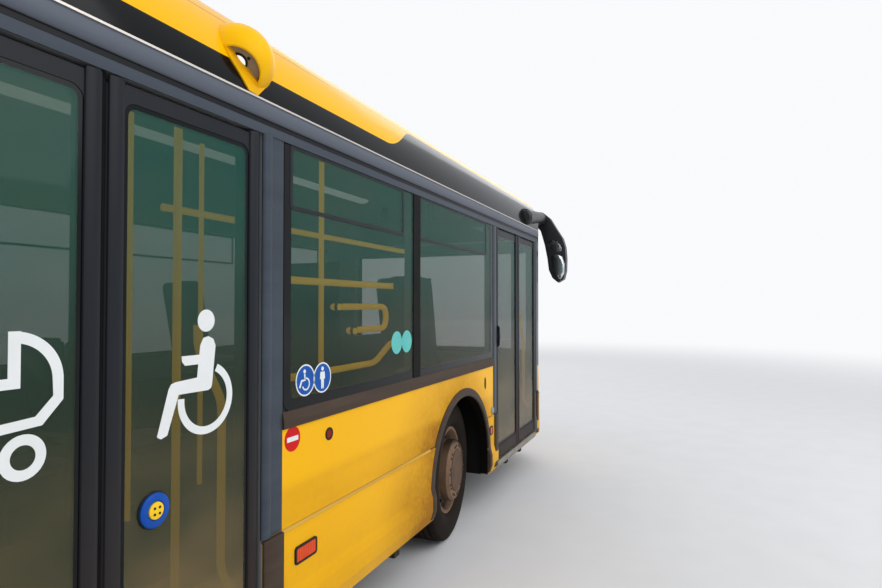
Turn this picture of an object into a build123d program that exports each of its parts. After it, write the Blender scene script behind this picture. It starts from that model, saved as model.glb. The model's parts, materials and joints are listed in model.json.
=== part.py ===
from build123d import *
import os
from math import cos, radians, sin

# Low-entry city bus, twelve metres long, with two double doors on its right side.
# Millimetres. X points forward, Y to the left and Z up. The origin lies on the ground
# under the middle of the overall length and width, both taken over the mirrors.

os.makedirs("parts", exist_ok=True)

# Overall size
LENGTH = 12000.0
WIDTH = 2550.0
ROOF_HEIGHT = 2880.0
WHEELBASE = 5900.0
FRONT_OVERHANG = 2700.0
MIRROR_REACH = 150.0
MIRROR_SPREAD = 185.0

X_NOSE = (LENGTH - MIRROR_REACH) / 2
X_TAIL = X_NOSE - LENGTH
X_FRONT = X_NOSE - FRONT_OVERHANG
X_REAR = X_FRONT - WHEELBASE
HALF = WIDTH / 2

# Body shell. The cove is the rounded edge between the side and the roof: each point is
# its distance in from the side and its height.
WALL = 60.0
BUMPER_PROUD = 35.0
SKIRT_BOTTOM = 320.0
CANTRAIL = ROOF_HEIGHT - 460.0
COVE_MID = (120.0, ROOF_HEIGHT - 173.0)
COVE_END = (350.0, ROOF_HEIGHT - 18.0)
ROOF_FLAT_FROM = 462.0
NOSE_BOW = 130.0
NOSE_CORNER = 470.0
NOSE_RAKE = 110.0
NOSE_BROW = 400.0
TAIL_BOW = 45.0
TAIL_CORNER = 200.0
TAIL_LEAN = 60.0
TAIL_BROW = 200.0
RAKE_FROM = 1064.0
LEAN_FROM = 1350.0
SKIRT_TOP = 765.0
SKIRT_PROUD = 7.0
SKIRT_FLARE = 20.0
FRONT_JOINT = X_NOSE - 570.0
REAR_JOINT = X_TAIL + 340.0
BODY_NOSE = X_NOSE - BUMPER_PROUD
BODY_TAIL = X_TAIL + BUMPER_PROUD
SEAM = 0.3

# Skirt section from the top edge down: distance out from the wall and height
SKIRT_SECTION = [(-WALL, SKIRT_TOP), (0.0, SKIRT_TOP), (SKIRT_PROUD, SKIRT_TOP - 9),
                 (SKIRT_PROUD, SKIRT_TOP - 240), (SKIRT_FLARE, SKIRT_TOP - 300),
                 (SKIRT_FLARE, SKIRT_TOP - 375), (0.0, SKIRT_BOTTOM), (-WALL, SKIRT_BOTTOM)]

# Side windows and the rails above and below them
GLASS_BOTTOM = 1224.0
GLASS_TOP = CANTRAIL - 87.0
GLASS_CORNER = 45.0
GLASS_LAP = 35.0
GLASS_GAP = 4.0
GLASS_THICK = 8.0
GLASS_SEAT = 9.0

# Pane edges along the body, from the front axle: rear edge, front edge
PANES_RIGHT = [(-1990.0, -775.0), (-765.0, 660.0), (-4700.0, -3465.0), (-6100.0, -4710.0),
               (-7500.0, -6110.0), (-8850.0, -7510.0)]
PANES_LEFT = [(-1990.0, -775.0), (-765.0, 660.0), (-3455.0, -2000.0), (-4700.0, -3465.0),
              (-6100.0, -4710.0), (-7500.0, -6110.0), (-8850.0, -7510.0), (670.0, 2050.0)]

# Doors. Each portal is given by its rear and front edge from the front axle.
FRONT_PORTAL = (742.0, 2050.0)
MID_PORTAL = (-3400.0, -2116.0)
PORTAL_TOP = CANTRAIL - 120.0
DOOR_TOP_GAP = 12.0
DOOR_EDGE_GAP = 12.0
DOOR_MEETING_GAP = 10.0
DOOR_SILL_GAP = 14.0
DOOR_THICK = 38.0
DOOR_RECESS = 6.0
STILE = 55.0
BOTTOM_RAIL = 120.0
POST_RADIUS = 22.0
POST_BEHIND = 20.0
POST_FROM_EDGE = 30.0
HEADER_DEPTH = 170.0

# Wheels: 275/70 R22.5 tyres, single in front and twin behind
TYRE_RADIUS = 478.0
TYRE_HALF_WIDTH = 137.5
TYRE_RECESS = 90.0
BEAD_RADIUS = 288.0
TWIN_SPACING = 330.0
ARCH_RADIUS = 528.0
HAND_HOLES = 10
FIT = 0.3

# Steering
KINGPIN_SCRUB = 110.0
KINGPIN_RADIUS = 24.0
STEER_AT_REST = 7.0
STEERING_ARM = 185.0

# Floor levels
FLOOR_TOP = 360.0
FLOOR_THICK = 50.0
STEP_TOP = 580.0
REAR_FLOOR_TOP = 800.0
ENGINE_DECK_TOP = 1350.0
FIRST_STEP = -4100.0
SECOND_STEP = -4400.0
ENGINE_BULKHEAD = -7300.0

# Wheel boxes inside the body
BOX_WALL = 25.0
BOX_HALF_LENGTH = 575.0
FRONT_BOX_TOP = 1060.0
REAR_BOX_TOP = 1100.0
FRONT_BOX_INNER = 535.0
REAR_BOX_INNER = 535.0

WHEEL_Y = HALF - TYRE_RECESS - TYRE_HALF_WIDTH
KINGPIN_Y = WHEEL_Y - KINGPIN_SCRUB
INNER_HALF = HALF - WALL


def along(x):
    """Place on the bus of a distance measured from the front axle."""
    return X_FRONT + x


def body_form(inset, foot=SKIRT_BOTTOM):
    """Closed form of the whole body, drawn in by inset all round."""
    with BuildPart() as form:
        with BuildSketch(Plane.YZ.offset(BODY_TAIL - 50)):
            with BuildLine():
                Polyline((-HALF, CANTRAIL), (-HALF, foot), (HALF, foot), (HALF, CANTRAIL))
                for side in (-1, 1):
                    ThreePointArc((side * HALF, CANTRAIL),
                                  (side * (HALF - COVE_MID[0]), COVE_MID[1]),
                                  (side * (HALF - COVE_END[0]), COVE_END[1]))
                    TangentArc((side * (HALF - ROOF_FLAT_FROM), ROOF_HEIGHT),
                               (side * (HALF - COVE_END[0]), COVE_END[1]), tangent=(side, 0))
                Line((-HALF + ROOF_FLAT_FROM, ROOF_HEIGHT), (HALF - ROOF_FLAT_FROM, ROOF_HEIGHT))
            make_face()
            if inset:
                offset(amount=-inset)
        extrude(amount=LENGTH + 100)
        with BuildSketch(Plane.XY.offset(foot - 100)):
            with BuildLine():
                Line((BODY_TAIL + TAIL_BOW, -HALF), (BODY_NOSE - NOSE_BOW, -HALF))
                ThreePointArc((BODY_NOSE - NOSE_BOW, -HALF), (BODY_NOSE, 0), (BODY_NOSE - NOSE_BOW, HALF))
                Line((BODY_NOSE - NOSE_BOW, HALF), (BODY_TAIL + TAIL_BOW, HALF))
                ThreePointArc((BODY_TAIL + TAIL_BOW, HALF), (BODY_TAIL, 0), (BODY_TAIL + TAIL_BOW, -HALF))
            face = make_face()
            fillet(face.vertices().group_by(Axis.X)[-1], NOSE_CORNER)
            fillet(face.vertices().group_by(Axis.X)[0], TAIL_CORNER)
            if inset:
                offset(amount=-inset)
        extrude(amount=ROOF_HEIGHT + 200, mode=Mode.INTERSECT)
        with BuildSketch(Plane.XZ):
            with BuildLine():
                nose = BODY_NOSE - inset
                tail = BODY_TAIL + inset
                roof_level = ROOF_HEIGHT - inset
                Polyline((nose, foot), (nose, RAKE_FROM), (nose - NOSE_RAKE, roof_level),
                         (tail + TAIL_LEAN, roof_level), (tail, LEAN_FROM), (tail, foot), close=True)
            face = make_face()
            top = face.vertices().group_by(Axis.Y)[-1].sort_by(Axis.X)
            fillet(top[-1], NOSE_BROW - inset)
            fillet(top[0], TAIL_BROW - inset)
        extrude(amount=WIDTH, both=True, mode=Mode.INTERSECT)
    return form.part


def span(x_low, x_high, y_low, y_high, z_low, z_high):
    """Block between two corners."""
    with BuildPart() as block:
        with Locations(((x_low + x_high) / 2, (y_low + y_high) / 2, (z_low + z_high) / 2)):
            Box(x_high - x_low, y_high - y_low, z_high - z_low)
    return block.part


outer_form = body_form(0)
inner_form = body_form(WALL, foot=SKIRT_BOTTOM - 3 * WALL)
floor_form = body_form(WALL + SEAM, foot=100.0)

# Side walls above the skirts. Each is a flat wall as thick as the real frame, sheet and
# lining together, with its window openings, wheel arches and, on the right, two portals.
for side, label, panes, portals in ((1, "side_wall_left", PANES_LEFT, []),
                                    (-1, "side_wall_right", PANES_RIGHT, [FRONT_PORTAL, MID_PORTAL])):
    with BuildPart() as side_wall:
        with BuildSketch(Plane.XZ.offset(-side * HALF)):
            with Locations(((REAR_JOINT + FRONT_JOINT) / 2, (SKIRT_TOP + CANTRAIL) / 2)):
                Rectangle(FRONT_JOINT - REAR_JOINT, CANTRAIL - SKIRT_TOP)
            for rear_edge, front_edge in panes:
                with Locations((along((rear_edge + front_edge) / 2), (GLASS_BOTTOM + GLASS_TOP) / 2)):
                    RectangleRounded(front_edge - rear_edge - 2 * GLASS_LAP,
                                     GLASS_TOP - GLASS_BOTTOM - 2 * GLASS_LAP,
                                     GLASS_CORNER, mode=Mode.SUBTRACT)
            for rear_edge, front_edge in portals:
                with Locations((along((rear_edge + front_edge) / 2), PORTAL_TOP / 2)):
                    Rectangle(front_edge - rear_edge, PORTAL_TOP, mode=Mode.SUBTRACT)
            for axle in (X_FRONT, X_REAR):
                with Locations((axle, TYRE_RADIUS)):
                    Circle(ARCH_RADIUS, mode=Mode.SUBTRACT)
        extrude(amount=side * WALL)
        with BuildSketch(Plane.XZ.offset(-side * HALF)):
            for rear_edge, front_edge in panes:
                with Locations((along((rear_edge + front_edge) / 2), (GLASS_BOTTOM + GLASS_TOP) / 2)):
                    RectangleRounded(front_edge - rear_edge, GLASS_TOP - GLASS_BOTTOM, GLASS_CORNER)
        extrude(amount=side * GLASS_SEAT, mode=Mode.SUBTRACT)
    side_wall.part.label = label
    export_step(side_wall.part, f"parts/{label}.step")

# Skirts: hinged panels under the walls between the wheel arches and the portals. Each
# stands proud of the wall with a ledge along its top, flares out low down and turns in
# again at its foot.
for side, label, portals in ((1, "skirt_left", []), (-1, "skirt_right", [FRONT_PORTAL, MID_PORTAL])):
    with BuildPart() as skirt:
        with BuildSketch(Plane.YZ.offset(REAR_JOINT)):
            with BuildLine():
                Polyline(*[(side * (HALF + out), z) for out, z in SKIRT_SECTION], close=True)
            make_face()
        extrude(amount=FRONT_JOINT - REAR_JOINT)
        for rear_edge, front_edge in portals:
            add(span(along(rear_edge), along(front_edge), -HALF - WALL, -INNER_HALF + WALL, 0, SKIRT_TOP),
                mode=Mode.SUBTRACT)
        with BuildSketch(Plane.XZ):
            for axle in (X_FRONT, X_REAR):
                with Locations((axle, TYRE_RADIUS)):
                    Circle(ARCH_RADIUS)
                with Locations((axle, TYRE_RADIUS / 2)):
                    Rectangle(2 * ARCH_RADIUS, TYRE_RADIUS)
        extrude(amount=WIDTH, both=True, mode=Mode.SUBTRACT)
    skirt.part.label = label
    export_step(skirt.part, f"parts/{label}.step")

# Side windows: flat bonded panes, each lying in its rebate
for side, label, panes in ((1, "side_windows_left", PANES_LEFT), (-1, "side_windows_right", PANES_RIGHT)):
    with BuildPart() as side_windows:
        with BuildSketch(Plane.XZ.offset(-side * (HALF - GLASS_SEAT))):
            for rear_edge, front_edge in panes:
                with Locations((along((rear_edge + front_edge) / 2), (GLASS_BOTTOM + GLASS_TOP) / 2)):
                    RectangleRounded(front_edge - rear_edge - 2 * GLASS_GAP,
                                     GLASS_TOP - GLASS_BOTTOM - 2 * GLASS_GAP, GLASS_CORNER - GLASS_GAP)
        extrude(amount=-side * GLASS_THICK)
    side_windows.part.label = label
    export_step(side_windows.part, f"parts/{label}.step")

# Roof: coves and flat top in one shell between the front and rear caps
with BuildPart() as roof:
    add(outer_form)
    add(inner_form, mode=Mode.SUBTRACT)
    add(span(REAR_JOINT, FRONT_JOINT, -HALF, HALF, CANTRAIL, ROOF_HEIGHT + 10), mode=Mode.INTERSECT)
roof.part.label = "roof"
export_step(roof.part, "parts/roof.step")

# Front cap with the windscreen and destination openings; the bumper closes it below
FRONT_BUMPER_TOP = 720.0
SCREEN_HALF = 1130.0
SCREEN_BOTTOM = 1060.0
SCREEN_TOP = ROOF_HEIGHT - 590.0
SCREEN_CORNER = 110.0
SIGN_HALF = 930.0
SIGN_BOTTOM = ROOF_HEIGHT - 550.0
SIGN_TOP = ROOF_HEIGHT - 240.0
SIGN_CORNER = 60.0

# End windows: half width, lower edge, upper edge and corner radius
SCREENS = [(SCREEN_HALF, SCREEN_BOTTOM, SCREEN_TOP, SCREEN_CORNER),
           (SIGN_HALF, SIGN_BOTTOM, SIGN_TOP, SIGN_CORNER)]


def screen_prism(lap, windows, x_from, reach):
    """Prisms along X through the outlines of end windows, drawn in by lap."""
    with BuildPart() as prism:
        with BuildSketch(Plane.YZ.offset(x_from)):
            for half_width, low, high, corner in windows:
                with Locations((0, (low + high) / 2)):
                    RectangleRounded(2 * (half_width - lap), high - low - 2 * lap, corner - lap)
        extrude(amount=reach)
    return prism.part


NOSE_REACH = X_NOSE - FRONT_JOINT + 20
with BuildPart() as front_rebate:
    add(outer_form)
    add(body_form(GLASS_SEAT), mode=Mode.SUBTRACT)
    add(screen_prism(0, SCREENS, FRONT_JOINT, NOSE_REACH), mode=Mode.INTERSECT)
with BuildPart() as front_cap:
    add(outer_form)
    add(inner_form, mode=Mode.SUBTRACT)
    add(span(FRONT_JOINT, X_NOSE, -HALF, HALF, FRONT_BUMPER_TOP, ROOF_HEIGHT + 10), mode=Mode.INTERSECT)
    add(screen_prism(GLASS_LAP, SCREENS, FRONT_JOINT, NOSE_REACH), mode=Mode.SUBTRACT)
    add(front_rebate.part, mode=Mode.SUBTRACT)
front_cap.part.label = "front_cap"
export_step(front_cap.part, "parts/front_cap.step")

# Windscreen and the smaller glass over the destination sign
with BuildPart() as windscreen:
    add(body_form(GLASS_SEAT - FIT - GLASS_THICK))
    add(body_form(GLASS_SEAT - FIT), mode=Mode.SUBTRACT)
    add(screen_prism(GLASS_GAP, SCREENS, FRONT_JOINT, NOSE_REACH), mode=Mode.INTERSECT)
windscreen.part.label = "windscreen"
export_step(windscreen.part, "parts/windscreen.step")

# Front bumper: wraps the lower nose, stands proud of it and holds the headlamps, each
# given by its distance from the middle, height and radius
LAMP_DEEP = 45.0
HEADLAMPS = [(900.0, 545.0, 85.0), (700.0, 545.0, 70.0)]
with BuildPart() as front_bumper:
    add(outer_form.moved(Location((BUMPER_PROUD, 0, 0))))
    add(inner_form, mode=Mode.SUBTRACT)
    add(span(FRONT_JOINT, X_NOSE + 10, -HALF, HALF, SKIRT_BOTTOM, FRONT_BUMPER_TOP), mode=Mode.INTERSECT)
    for side in (-1, 1):
        for y, z, radius in HEADLAMPS:
            with BuildSketch(Plane.YZ.offset(FRONT_JOINT)):
                with Locations((side * y, z)):
                    Circle(radius + FIT)
            extrude(amount=X_NOSE - FRONT_JOINT + 50, mode=Mode.SUBTRACT)
front_bumper.part.label = "front_bumper"
export_step(front_bumper.part, "parts/front_bumper.step")

# Rear cap with the window, the engine opening and the lamp columns
TAIL_LAMPS = [(1080.0, 1250.0, 48.0), (1080.0, 1130.0, 48.0), (1080.0, 1010.0, 48.0)]
REAR_BUMPER_TOP = 560.0
REAR_GLASS_HALF = 930.0
REAR_GLASS_BOTTOM = 1520.0
REAR_GLASS_TOP = CANTRAIL - 120.0
REAR_GLASS = [(REAR_GLASS_HALF, REAR_GLASS_BOTTOM, REAR_GLASS_TOP, 90.0)]
FLAP_HALF = 820.0
FLAP_BOTTOM = 590.0
FLAP_TOP = 1330.0
FLAP_GAP = 8.0
FLAP_THICK = 40.0
HINGE_PIN_RADIUS = 7.0
HINGE_PIN_FIT = 0.8
HINGE_BARREL_RADIUS = 14.0
HINGE_SPOTS = (-560.0, 560.0)
BARREL_LENGTH = 70.0
BARREL_CLEARANCE = 6.0
LUG_FORWARD = 6.0
LUG_THICK = 20.0
LUG_HEIGHT = 40.0
BRACKET_LENGTH = 16.0
BRACKET_GAP = 4.0
BRACKET_MIDDLE = BARREL_LENGTH / 2 + BRACKET_GAP + BRACKET_LENGTH / 2
TAIL_REACH = REAR_JOINT - X_TAIL + 20
with BuildPart() as rear_rebate:
    add(outer_form)
    add(body_form(GLASS_SEAT), mode=Mode.SUBTRACT)
    add(screen_prism(0, REAR_GLASS, X_TAIL - 10, TAIL_REACH), mode=Mode.INTERSECT)
with BuildPart() as rear_cap:
    add(outer_form)
    add(inner_form, mode=Mode.SUBTRACT)
    add(span(X_TAIL, REAR_JOINT, -HALF, HALF, REAR_BUMPER_TOP, ROOF_HEIGHT + 10), mode=Mode.INTERSECT)
    add(screen_prism(GLASS_LAP, REAR_GLASS, X_TAIL - 10, TAIL_REACH), mode=Mode.SUBTRACT)
    add(rear_rebate.part, mode=Mode.SUBTRACT)
    add(span(X_TAIL, REAR_JOINT, -FLAP_HALF, FLAP_HALF, FLAP_BOTTOM, FLAP_TOP), mode=Mode.SUBTRACT)
    for side in (-1, 1):
        for y, z, radius in TAIL_LAMPS:
            with BuildSketch(Plane.YZ.offset(X_TAIL - 10)):
                with Locations((side * y, z)):
                    Circle(radius + FIT)
            extrude(amount=TAIL_REACH, mode=Mode.SUBTRACT)
    for y in HINGE_SPOTS:
        with BuildSketch(Plane.XZ.offset(-y)):
            with Locations((BODY_TAIL, FLAP_TOP)):
                Circle(HINGE_BARREL_RADIUS + BARREL_CLEARANCE)
        extrude(amount=BARREL_LENGTH / 2 + BARREL_CLEARANCE, both=True, mode=Mode.SUBTRACT)
rear_cap.part.label = "rear_cap"
export_step(rear_cap.part, "parts/rear_cap.step")

with BuildPart() as rear_window:
    add(body_form(GLASS_SEAT - FIT - GLASS_THICK))
    add(body_form(GLASS_SEAT - FIT), mode=Mode.SUBTRACT)
    add(screen_prism(GLASS_GAP, REAR_GLASS, X_TAIL - 10, TAIL_REACH), mode=Mode.INTERSECT)
rear_window.part.label = "rear_window"
export_step(rear_window.part, "parts/rear_window.step")

with BuildPart() as rear_bumper:
    add(outer_form.moved(Location((-BUMPER_PROUD, 0, 0))))
    add(inner_form, mode=Mode.SUBTRACT)
    add(span(X_TAIL - 10, REAR_JOINT, -HALF, HALF, SKIRT_BOTTOM, REAR_BUMPER_TOP), mode=Mode.INTERSECT)
rear_bumper.part.label = "rear_bumper"
export_step(rear_bumper.part, "parts/rear_bumper.step")

# Engine flap: the lower rear panel, hung from pins at its top edge. Its top is notched
# round each hinge.
HINGE_X = BODY_TAIL
HINGE_Z = FLAP_TOP
with BuildPart() as engine_flap:
    add(outer_form)
    add(body_form(FLAP_THICK, foot=100.0), mode=Mode.SUBTRACT)
    add(span(X_TAIL, REAR_JOINT, -FLAP_HALF + FLAP_GAP, FLAP_HALF - FLAP_GAP, FLAP_BOTTOM + FLAP_GAP,
             FLAP_TOP - FLAP_GAP), mode=Mode.INTERSECT)
    for y in HINGE_SPOTS:
        with BuildSketch(Plane.XZ.offset(-y)):
            with Locations((HINGE_X, HINGE_Z)):
                Circle(HINGE_BARREL_RADIUS + BARREL_CLEARANCE)
        extrude(amount=BRACKET_MIDDLE + BRACKET_LENGTH, both=True, mode=Mode.SUBTRACT)
        with BuildSketch(Plane.XZ.offset(-y)):
            with Locations((HINGE_X, HINGE_Z)):
                Circle(HINGE_BARREL_RADIUS)
            with Locations((HINGE_X + LUG_FORWARD, HINGE_Z - LUG_HEIGHT / 2)):
                Rectangle(LUG_THICK, LUG_HEIGHT)
            with Locations((HINGE_X, HINGE_Z)):
                Circle(HINGE_PIN_RADIUS + HINGE_PIN_FIT, mode=Mode.SUBTRACT)
        extrude(amount=BARREL_LENGTH / 2, both=True)
engine_flap.part.label = "engine_flap"
export_step(engine_flap.part, "parts/engine_flap.step")

# Hinge pins, each held by a bracket at both ends that stands on the rear cap
with BuildPart() as flap_hinges:
    for y in HINGE_SPOTS:
        with BuildSketch(Plane.XZ.offset(-y)):
            with Locations((HINGE_X, HINGE_Z)):
                Circle(HINGE_PIN_RADIUS)
        extrude(amount=BRACKET_MIDDLE + BRACKET_LENGTH / 2, both=True)
        for end in (-1, 1):
            with BuildSketch(Plane.XZ.offset(-(y + end * BRACKET_MIDDLE))):
                with Locations((HINGE_X, HINGE_Z)):
                    Circle(HINGE_BARREL_RADIUS)
                with Locations((HINGE_X + LUG_FORWARD, HINGE_Z + LUG_HEIGHT / 2)):
                    Rectangle(LUG_THICK, LUG_HEIGHT)
            extrude(amount=BRACKET_LENGTH / 2, both=True)
    add(outer_form, mode=Mode.SUBTRACT)
flap_hinges.part.label = "flap_hinges"
export_step(flap_hinges.part, "parts/flap_hinges.step")

# Door leaves. Each turns on a post inside its portal, carries its own post, and swings
# inwards until it stands across the portal's edge.
LEAF_BOTTOM = FLOOR_TOP + DOOR_SILL_GAP
LEAF_TOP = PORTAL_TOP - DOOR_TOP_GAP
LEAF_OUTER = HALF - DOOR_RECESS
LEAF_INNER = LEAF_OUTER - DOOR_THICK
POST_Y = LEAF_INNER - POST_BEHIND
PANE_IN_LEAF = 10.0
PANE_LAP = 10.0
PANE_PLAY = 1.0
LEAF_CORNER = 30.0
LEAF_CHAMFER = 7.0


def leaf_edges(portal, at_front):
    """Outer edge, inner edge and post of one leaf along X."""
    rear_edge, front_edge = (along(edge) for edge in portal)
    middle = (rear_edge + front_edge) / 2
    if at_front:
        hung = front_edge - DOOR_EDGE_GAP
        return hung, middle + DOOR_MEETING_GAP / 2, hung - POST_FROM_EDGE
    hung = rear_edge + DOOR_EDGE_GAP
    return hung, middle - DOOR_MEETING_GAP / 2, hung + POST_FROM_EDGE


LEAVES = [("front_door_front", FRONT_PORTAL, True), ("front_door_rear", FRONT_PORTAL, False),
          ("mid_door_front", MID_PORTAL, True), ("mid_door_rear", MID_PORTAL, False)]
for name, portal, at_front in LEAVES:
    hung, free, post = leaf_edges(portal, at_front)
    leaf_middle = (hung + free) / 2
    leaf_width = abs(hung - free)
    glass_low = LEAF_BOTTOM + BOTTOM_RAIL
    glass_high = LEAF_TOP - STILE
    with BuildPart() as leaf:
        with BuildSketch(Plane.XZ.offset(LEAF_INNER)):
            with Locations((leaf_middle, (LEAF_BOTTOM + LEAF_TOP) / 2)):
                RectangleRounded(leaf_width, LEAF_TOP - LEAF_BOTTOM, LEAF_CORNER)
        extrude(amount=DOOR_THICK)
        chamfer(faces().sort_by(Axis.Y)[0].edges(), LEAF_CHAMFER)
        with BuildSketch(Plane.XZ.offset(LEAF_INNER)):
            with Locations((leaf_middle, (glass_low + glass_high) / 2)):
                RectangleRounded(leaf_width - 2 * (STILE + PANE_LAP), glass_high - glass_low - 2 * PANE_LAP,
                                 LEAF_CORNER)
        extrude(amount=DOOR_THICK, mode=Mode.SUBTRACT)
        with BuildSketch(Plane.XZ.offset(LEAF_OUTER)):
            with Locations((leaf_middle, (glass_low + glass_high) / 2)):
                RectangleRounded(leaf_width - 2 * STILE, glass_high - glass_low, LEAF_CORNER + PANE_LAP)
        extrude(amount=-PANE_IN_LEAF, mode=Mode.SUBTRACT)
        with BuildSketch(Plane.XY.offset(FLOOR_TOP + FIT)):
            with Locations((post, -POST_Y)):
                Circle(POST_RADIUS)
        extrude(amount=PORTAL_TOP - FLOOR_TOP - 2 * FIT)
    leaf.part.label = f"{name}_leaf"
    export_step(leaf.part, f"parts/{name}_leaf.step")
    with BuildPart() as pane:
        with BuildSketch(Plane.XZ.offset(LEAF_OUTER - PANE_IN_LEAF)):
            with Locations((leaf_middle, (glass_low + glass_high) / 2)):
                RectangleRounded(leaf_width - 2 * (STILE + PANE_PLAY), glass_high - glass_low - 2 * PANE_PLAY,
                                 LEAF_CORNER + PANE_LAP - PANE_PLAY)
        extrude(amount=GLASS_THICK)
    pane.part.label = f"{name}_glass"
    export_step(pane.part, f"parts/{name}_glass.step")

# Drive boxes over the two portals, from the door posts' tops up to the cantrail
with BuildPart() as door_headers:
    for rear_edge, front_edge in (FRONT_PORTAL, MID_PORTAL):
        add(span(along(rear_edge), along(front_edge), -INNER_HALF, -INNER_HALF + HEADER_DEPTH,
                 PORTAL_TOP, CANTRAIL))
door_headers.part.label = "door_headers"
export_step(door_headers.part, "parts/door_headers.step")

# Floor: low from the front to behind the middle door, two steps up, the raised rear
# floor, then the deck over the engine. Each riser has its place and the levels behind
# and ahead of it.
RISERS = [(along(ENGINE_BULKHEAD), ENGINE_DECK_TOP, REAR_FLOOR_TOP),
          (along(SECOND_STEP), REAR_FLOOR_TOP, STEP_TOP),
          (along(FIRST_STEP), STEP_TOP, FLOOR_TOP)]
with BuildPart() as floor:
    with BuildSketch(Plane.XZ):
        upper = [(x, level) for x, behind, ahead in RISERS for level in (behind, ahead)]
        lower = [(x - FLOOR_THICK, level - FLOOR_THICK) for x, level in reversed(upper)]
        with BuildLine():
            Polyline((BODY_TAIL, ENGINE_DECK_TOP), *upper, (X_NOSE, FLOOR_TOP),
                     (X_NOSE, FLOOR_TOP - FLOOR_THICK), *lower,
                     (BODY_TAIL, ENGINE_DECK_TOP - FLOOR_THICK), close=True)
        make_face()
    extrude(amount=HALF, both=True)
    add(floor_form, mode=Mode.INTERSECT)
    for side in (-1, 1):
        for axle, inner in ((X_FRONT, FRONT_BOX_INNER), (X_REAR, REAR_BOX_INNER)):
            add(span(axle - BOX_HALF_LENGTH - SEAM, axle + BOX_HALF_LENGTH + SEAM,
                     *sorted((side * (inner - SEAM), side * HALF)), 0, REAR_BOX_TOP), mode=Mode.SUBTRACT)
    for rear_edge, front_edge in (FRONT_PORTAL, MID_PORTAL):
        add(span(along(rear_edge) + FIT, along(front_edge) - FIT, -HALF, -INNER_HALF + WALL,
                 FLOOR_TOP - FLOOR_THICK, FLOOR_TOP))
floor.part.label = "floor"
export_step(floor.part, "parts/floor.step")

# Wheel boxes: the raised covers over the wheels, open below and to the outside
with BuildPart() as wheel_boxes:
    for side in (-1, 1):
        for axle, inner, top, foot in ((X_FRONT, FRONT_BOX_INNER, FRONT_BOX_TOP, FLOOR_TOP - FLOOR_THICK),
                                       (X_REAR, REAR_BOX_INNER, REAR_BOX_TOP, REAR_FLOOR_TOP - FLOOR_THICK)):
            outside = sorted((side * inner, side * (INNER_HALF - SEAM)))
            inside = sorted((side * (inner + BOX_WALL), side * HALF))
            add(span(axle - BOX_HALF_LENGTH, axle + BOX_HALF_LENGTH, *outside, foot, top))
            add(span(axle - BOX_HALF_LENGTH + BOX_WALL, axle + BOX_HALF_LENGTH - BOX_WALL, *inside,
                     0, top - BOX_WALL), mode=Mode.SUBTRACT)
wheel_boxes.part.label = "wheel_boxes"
export_step(wheel_boxes.part, "parts/wheel_boxes.step")

# Underframe: two long rails under the floor that climb behind the middle door, with
# cross members between them and out to the sides
RAIL_Y = 430.0
RAIL_WIDTH = 70.0
RAIL_DEEP = 80.0
RAIL_FRONT = X_NOSE - 420.0
RAIL_REAR = X_TAIL + 420.0
RAIL_BEND = 60.0
CROSS_HALF = 30.0
CROSS_LOW = (1700.0, 1250.0, -900.0, -1800.0, -2700.0, -3600.0)
CROSS_HIGH = (-4850.0, -7000.0, -8300.0)
LOW_TOP = FLOOR_TOP - FLOOR_THICK
HIGH_TOP = REAR_FLOOR_TOP - FLOOR_THICK
with BuildPart() as underframe:
    for side in (-1, 1):
        with BuildSketch(Plane.XZ.offset(-side * RAIL_Y)):
            climb = along(SECOND_STEP) - FLOOR_THICK
            foot = along(FIRST_STEP) - FLOOR_THICK
            with BuildLine():
                Polyline((RAIL_FRONT, LOW_TOP), (foot, LOW_TOP), (climb, HIGH_TOP), (RAIL_REAR, HIGH_TOP),
                         (RAIL_REAR, HIGH_TOP - RAIL_DEEP), (climb - RAIL_BEND, HIGH_TOP - RAIL_DEEP),
                         (foot - RAIL_BEND, LOW_TOP - RAIL_DEEP), (RAIL_FRONT, LOW_TOP - RAIL_DEEP), close=True)
            make_face()
        extrude(amount=RAIL_WIDTH / 2, both=True)
    inside = RAIL_Y - RAIL_WIDTH / 2 - SEAM
    outside = RAIL_Y + RAIL_WIDTH / 2 + SEAM
    for crossings, top in ((CROSS_LOW, LOW_TOP), (CROSS_HIGH, HIGH_TOP)):
        for x in crossings:
            for y_low, y_high in ((-INNER_HALF + SEAM, -outside), (-inside, inside),
                                  (outside, INNER_HALF - SEAM)):
                add(span(along(x) - CROSS_HALF, along(x) + CROSS_HALF, y_low, y_high, top - RAIL_DEEP, top))
    add(floor.part, mode=Mode.SUBTRACT)
underframe.part.label = "underframe"
export_step(underframe.part, "parts/underframe.step")

# Engine, gearbox and radiator in one plain block on the rear rails
ENGINE_REAR = -8700.0
ENGINE_FRONT = -7500.0
ENGINE_HALF = 450.0
ENGINE_BOTTOM = 420.0
ENGINE_CLEARANCE = 20.0
with BuildPart() as engine_block:
    sump_half = RAIL_Y - RAIL_WIDTH / 2 - ENGINE_CLEARANCE
    add(span(along(ENGINE_REAR), along(ENGINE_FRONT), -ENGINE_HALF, ENGINE_HALF, HIGH_TOP,
             ENGINE_DECK_TOP - FLOOR_THICK - ENGINE_CLEARANCE))
    add(span(along(ENGINE_REAR), along(ENGINE_FRONT), -sump_half, sump_half, ENGINE_BOTTOM, HIGH_TOP))
    for x in CROSS_HIGH:
        notch = CROSS_HALF + ENGINE_CLEARANCE / 2
        add(span(along(x) - notch, along(x) + notch, -HALF, HALF,
                 HIGH_TOP - RAIL_DEEP - ENGINE_CLEARANCE / 2, HIGH_TOP), mode=Mode.SUBTRACT)
engine_block.part.label = "engine_block"
export_step(engine_block.part, "parts/engine_block.step")

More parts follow.
